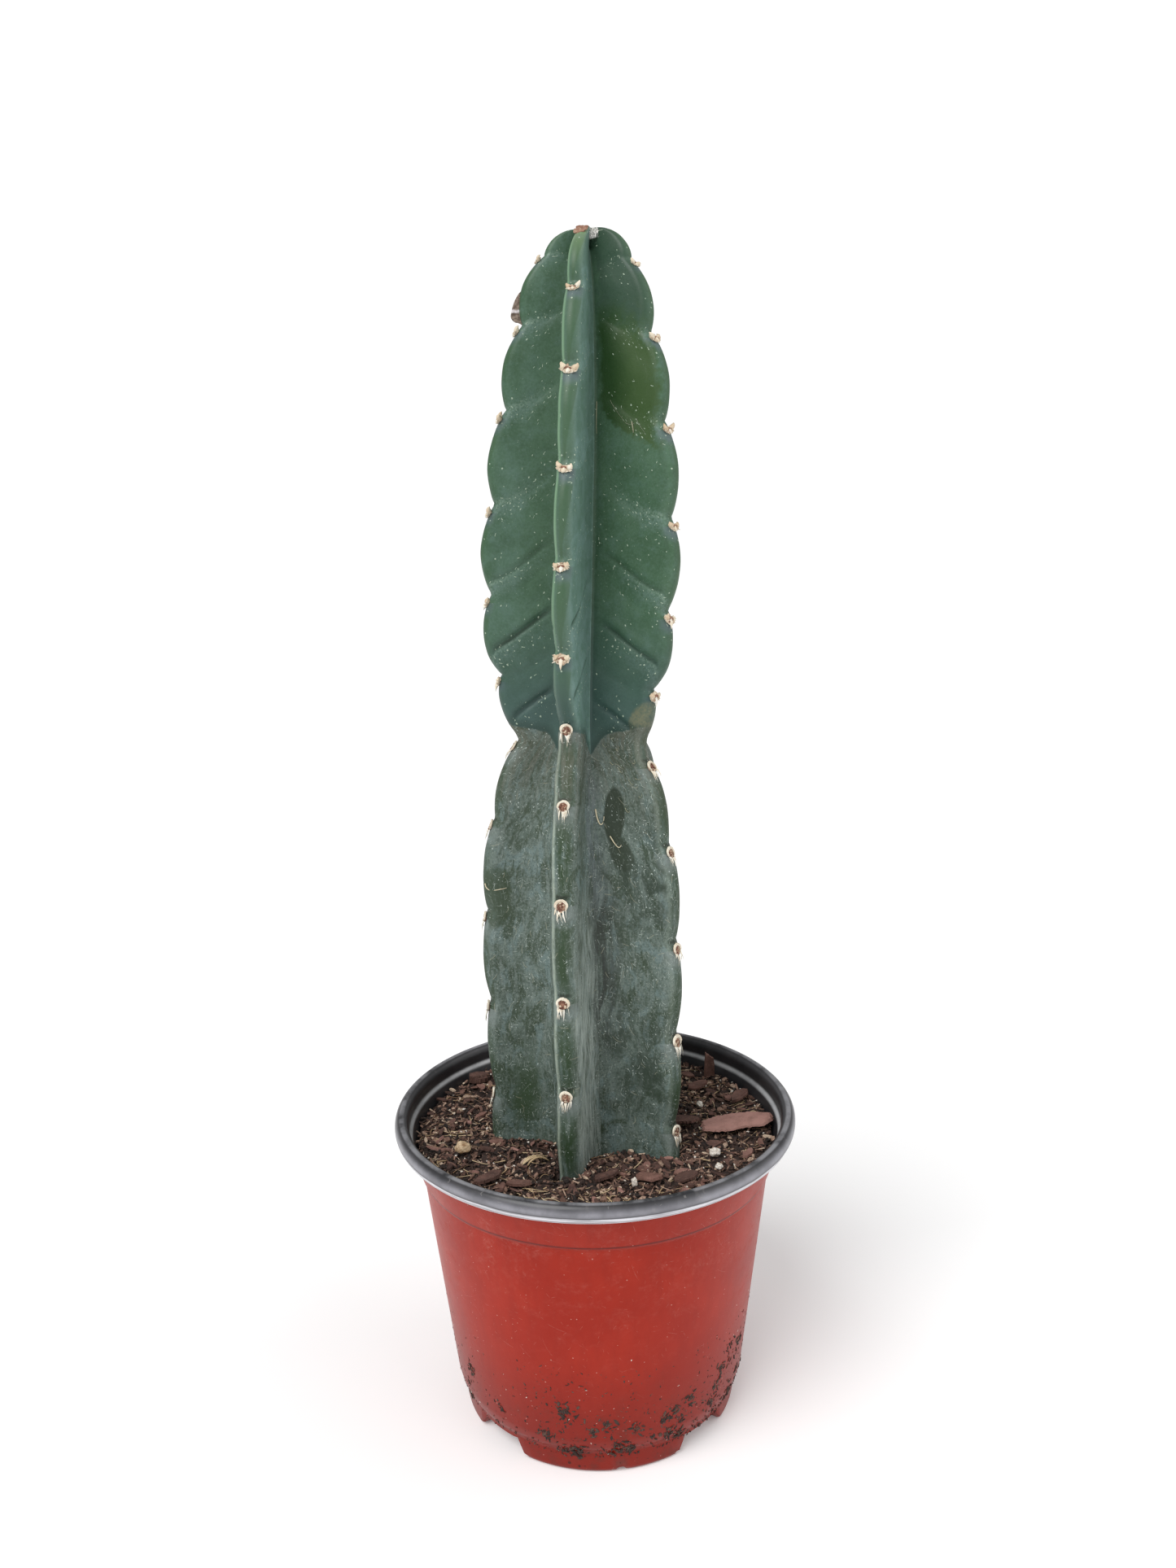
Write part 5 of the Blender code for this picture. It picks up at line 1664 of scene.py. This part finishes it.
def perlite_material():
    """White porous grain."""
    looks = Looks("perlite")
    position = looks.position()
    pores = looks.noise(position, 1500, 3, 0.6)
    colour = looks.mix(pores.rise(0.3, 0.7), (0.55, 0.47, 0.38), (0.86, 0.82, 0.76))
    return looks.finish(colour, 0.8 + pores * 0.1, pores, 0.3 * MM)


def stone_material():
    """Tan stone with darker spots."""
    looks = Looks("grit_stone")
    position = looks.position()
    cloud = looks.noise(position, 500, 4, 0.6)
    colour = looks.mix(cloud.rise(0.35, 0.65), (0.26, 0.15, 0.07), (0.62, 0.47, 0.3))
    return looks.finish(colour, 0.6 + cloud * 0.15, cloud, 0.4 * MM)


def make_grain(name, size, material, seed):
    """A rounded grain where its node lies."""
    bm = bmesh.new()
    bmesh.ops.create_icosphere(bm, subdivisions=4, radius=1)
    for vert in bm.verts:
        lump = noise.noise(vert.co * 1.4 + Vector((seed, 0, 0))) * 0.28
        dimple = noise.noise(vert.co * 4 + Vector((0, seed, 0))) * 0.1
        vert.co *= 1 + (lump + dimple)
    bmesh.ops.scale(bm, verts=bm.verts, vec=[value * MM for value in size])
    settle(bm, name)
    add_piece(bm, name + "_grain", material, [name])


def make_loose_pieces():
    """The named chips, grains and stone."""
    bark = bark_material("bark_chip")
    for seed, name in enumerate(CHIPS):
        make_chip(name, bark, seed)
    make_upright_chip(bark)
    perlite = perlite_material()
    for seed, (name, size) in enumerate(GRAIN_SIZES.items()):
        make_grain(name, size, perlite, seed)
    make_grain("grit_stone", STONE_SIZE, stone_material(), 9)


# Stage --------------------------------------------------------------------------------------

def make_floor():
    """Plain pale floor."""
    bm = bmesh.new()
    bmesh.ops.create_circle(bm, cap_ends=True, segments=64, radius=8)
    looks = Looks("floor", Roughness=0.9, Emission_Color=(1, 1, 1, 1), Emission_Strength=0.12)
    mesh = as_mesh(bm, "floor")
    mesh.materials.append(looks.finish((0.92, 0.92, 0.92)))
    floor = add_object("floor", mesh)


def add_sun(name, place, strength, spread):
    """Soft even light that comes from the side of a place."""
    lamp = bpy.data.lights.new(name, "SUN")
    lamp.energy = strength
    lamp.angle = math.radians(spread)
    add_object(name, lamp).rotation_euler = (-Vector(place)).to_track_quat("-Z", "Y").to_euler()


def make_light():
    """Soft studio light from above and the left, on a white surrounding."""
    world = bpy.data.worlds.new("studio")
    world.use_nodes = True
    studio = NodeTree(world.node_tree)
    lit = studio.nodes["Background"]
    studio.feed(lit.inputs["Color"], (1, 1, 1))
    studio.feed(lit.inputs["Strength"], 0.42)
    seen = studio.node("Background", None, {"Color": (1, 1, 1), "Strength": 1.05})
    camera_ray = studio.node("LightPath").outputs["Is Camera Ray"]
    either = studio.node("MixShader", None, {0: camera_ray, 1: lit.outputs[0], 2: seen.outputs[0]})
    studio.feed(studio.nodes["World Output"].inputs[0], either.outputs[0])
    bpy.context.scene.world = world
    add_sun("key", (-0.6, -0.75, 1.15), 2.2, 40)
    add_sun("fill", (0.95, -0.3, 0.55), 0.95, 70)


def make_camera():
    """Camera in front of the plant, a little above its neck, looking slightly down."""
    pitch, roll = math.radians(CAMERA_PITCH), math.radians(CAMERA_ROLL)
    forward = Vector((0, math.cos(pitch), math.sin(pitch)))
    level = Vector((1, 0, 0))
    upright = level.cross(forward)
    right = level * math.cos(roll) + upright * math.sin(roll)
    up = upright * math.cos(roll) - level * math.sin(roll)
    data = bpy.data.cameras.new("camera")
    data.lens = CAMERA_LENS
    data.sensor_width = CAMERA_SENSOR
    data.clip_start = 0.01
    camera = add_object("camera", data)
    camera.matrix_world = axes_at(CAMERA_PLACE, right, up, -forward)
    bpy.context.scene.camera = camera
    bpy.context.scene.view_settings.view_transform = "Standard"


make_camera()
make_light()
make_floor()
make_stem()
make_areoles()
make_skin_marks()
make_flap()
make_tip()
make_pot_shell("pot_liner", -1, black_plastic())
make_pot_shell("pot_outside", -3, red_plastic())
make_splashes()
make_mix()
make_bits()
make_straws()
make_loose_pieces()
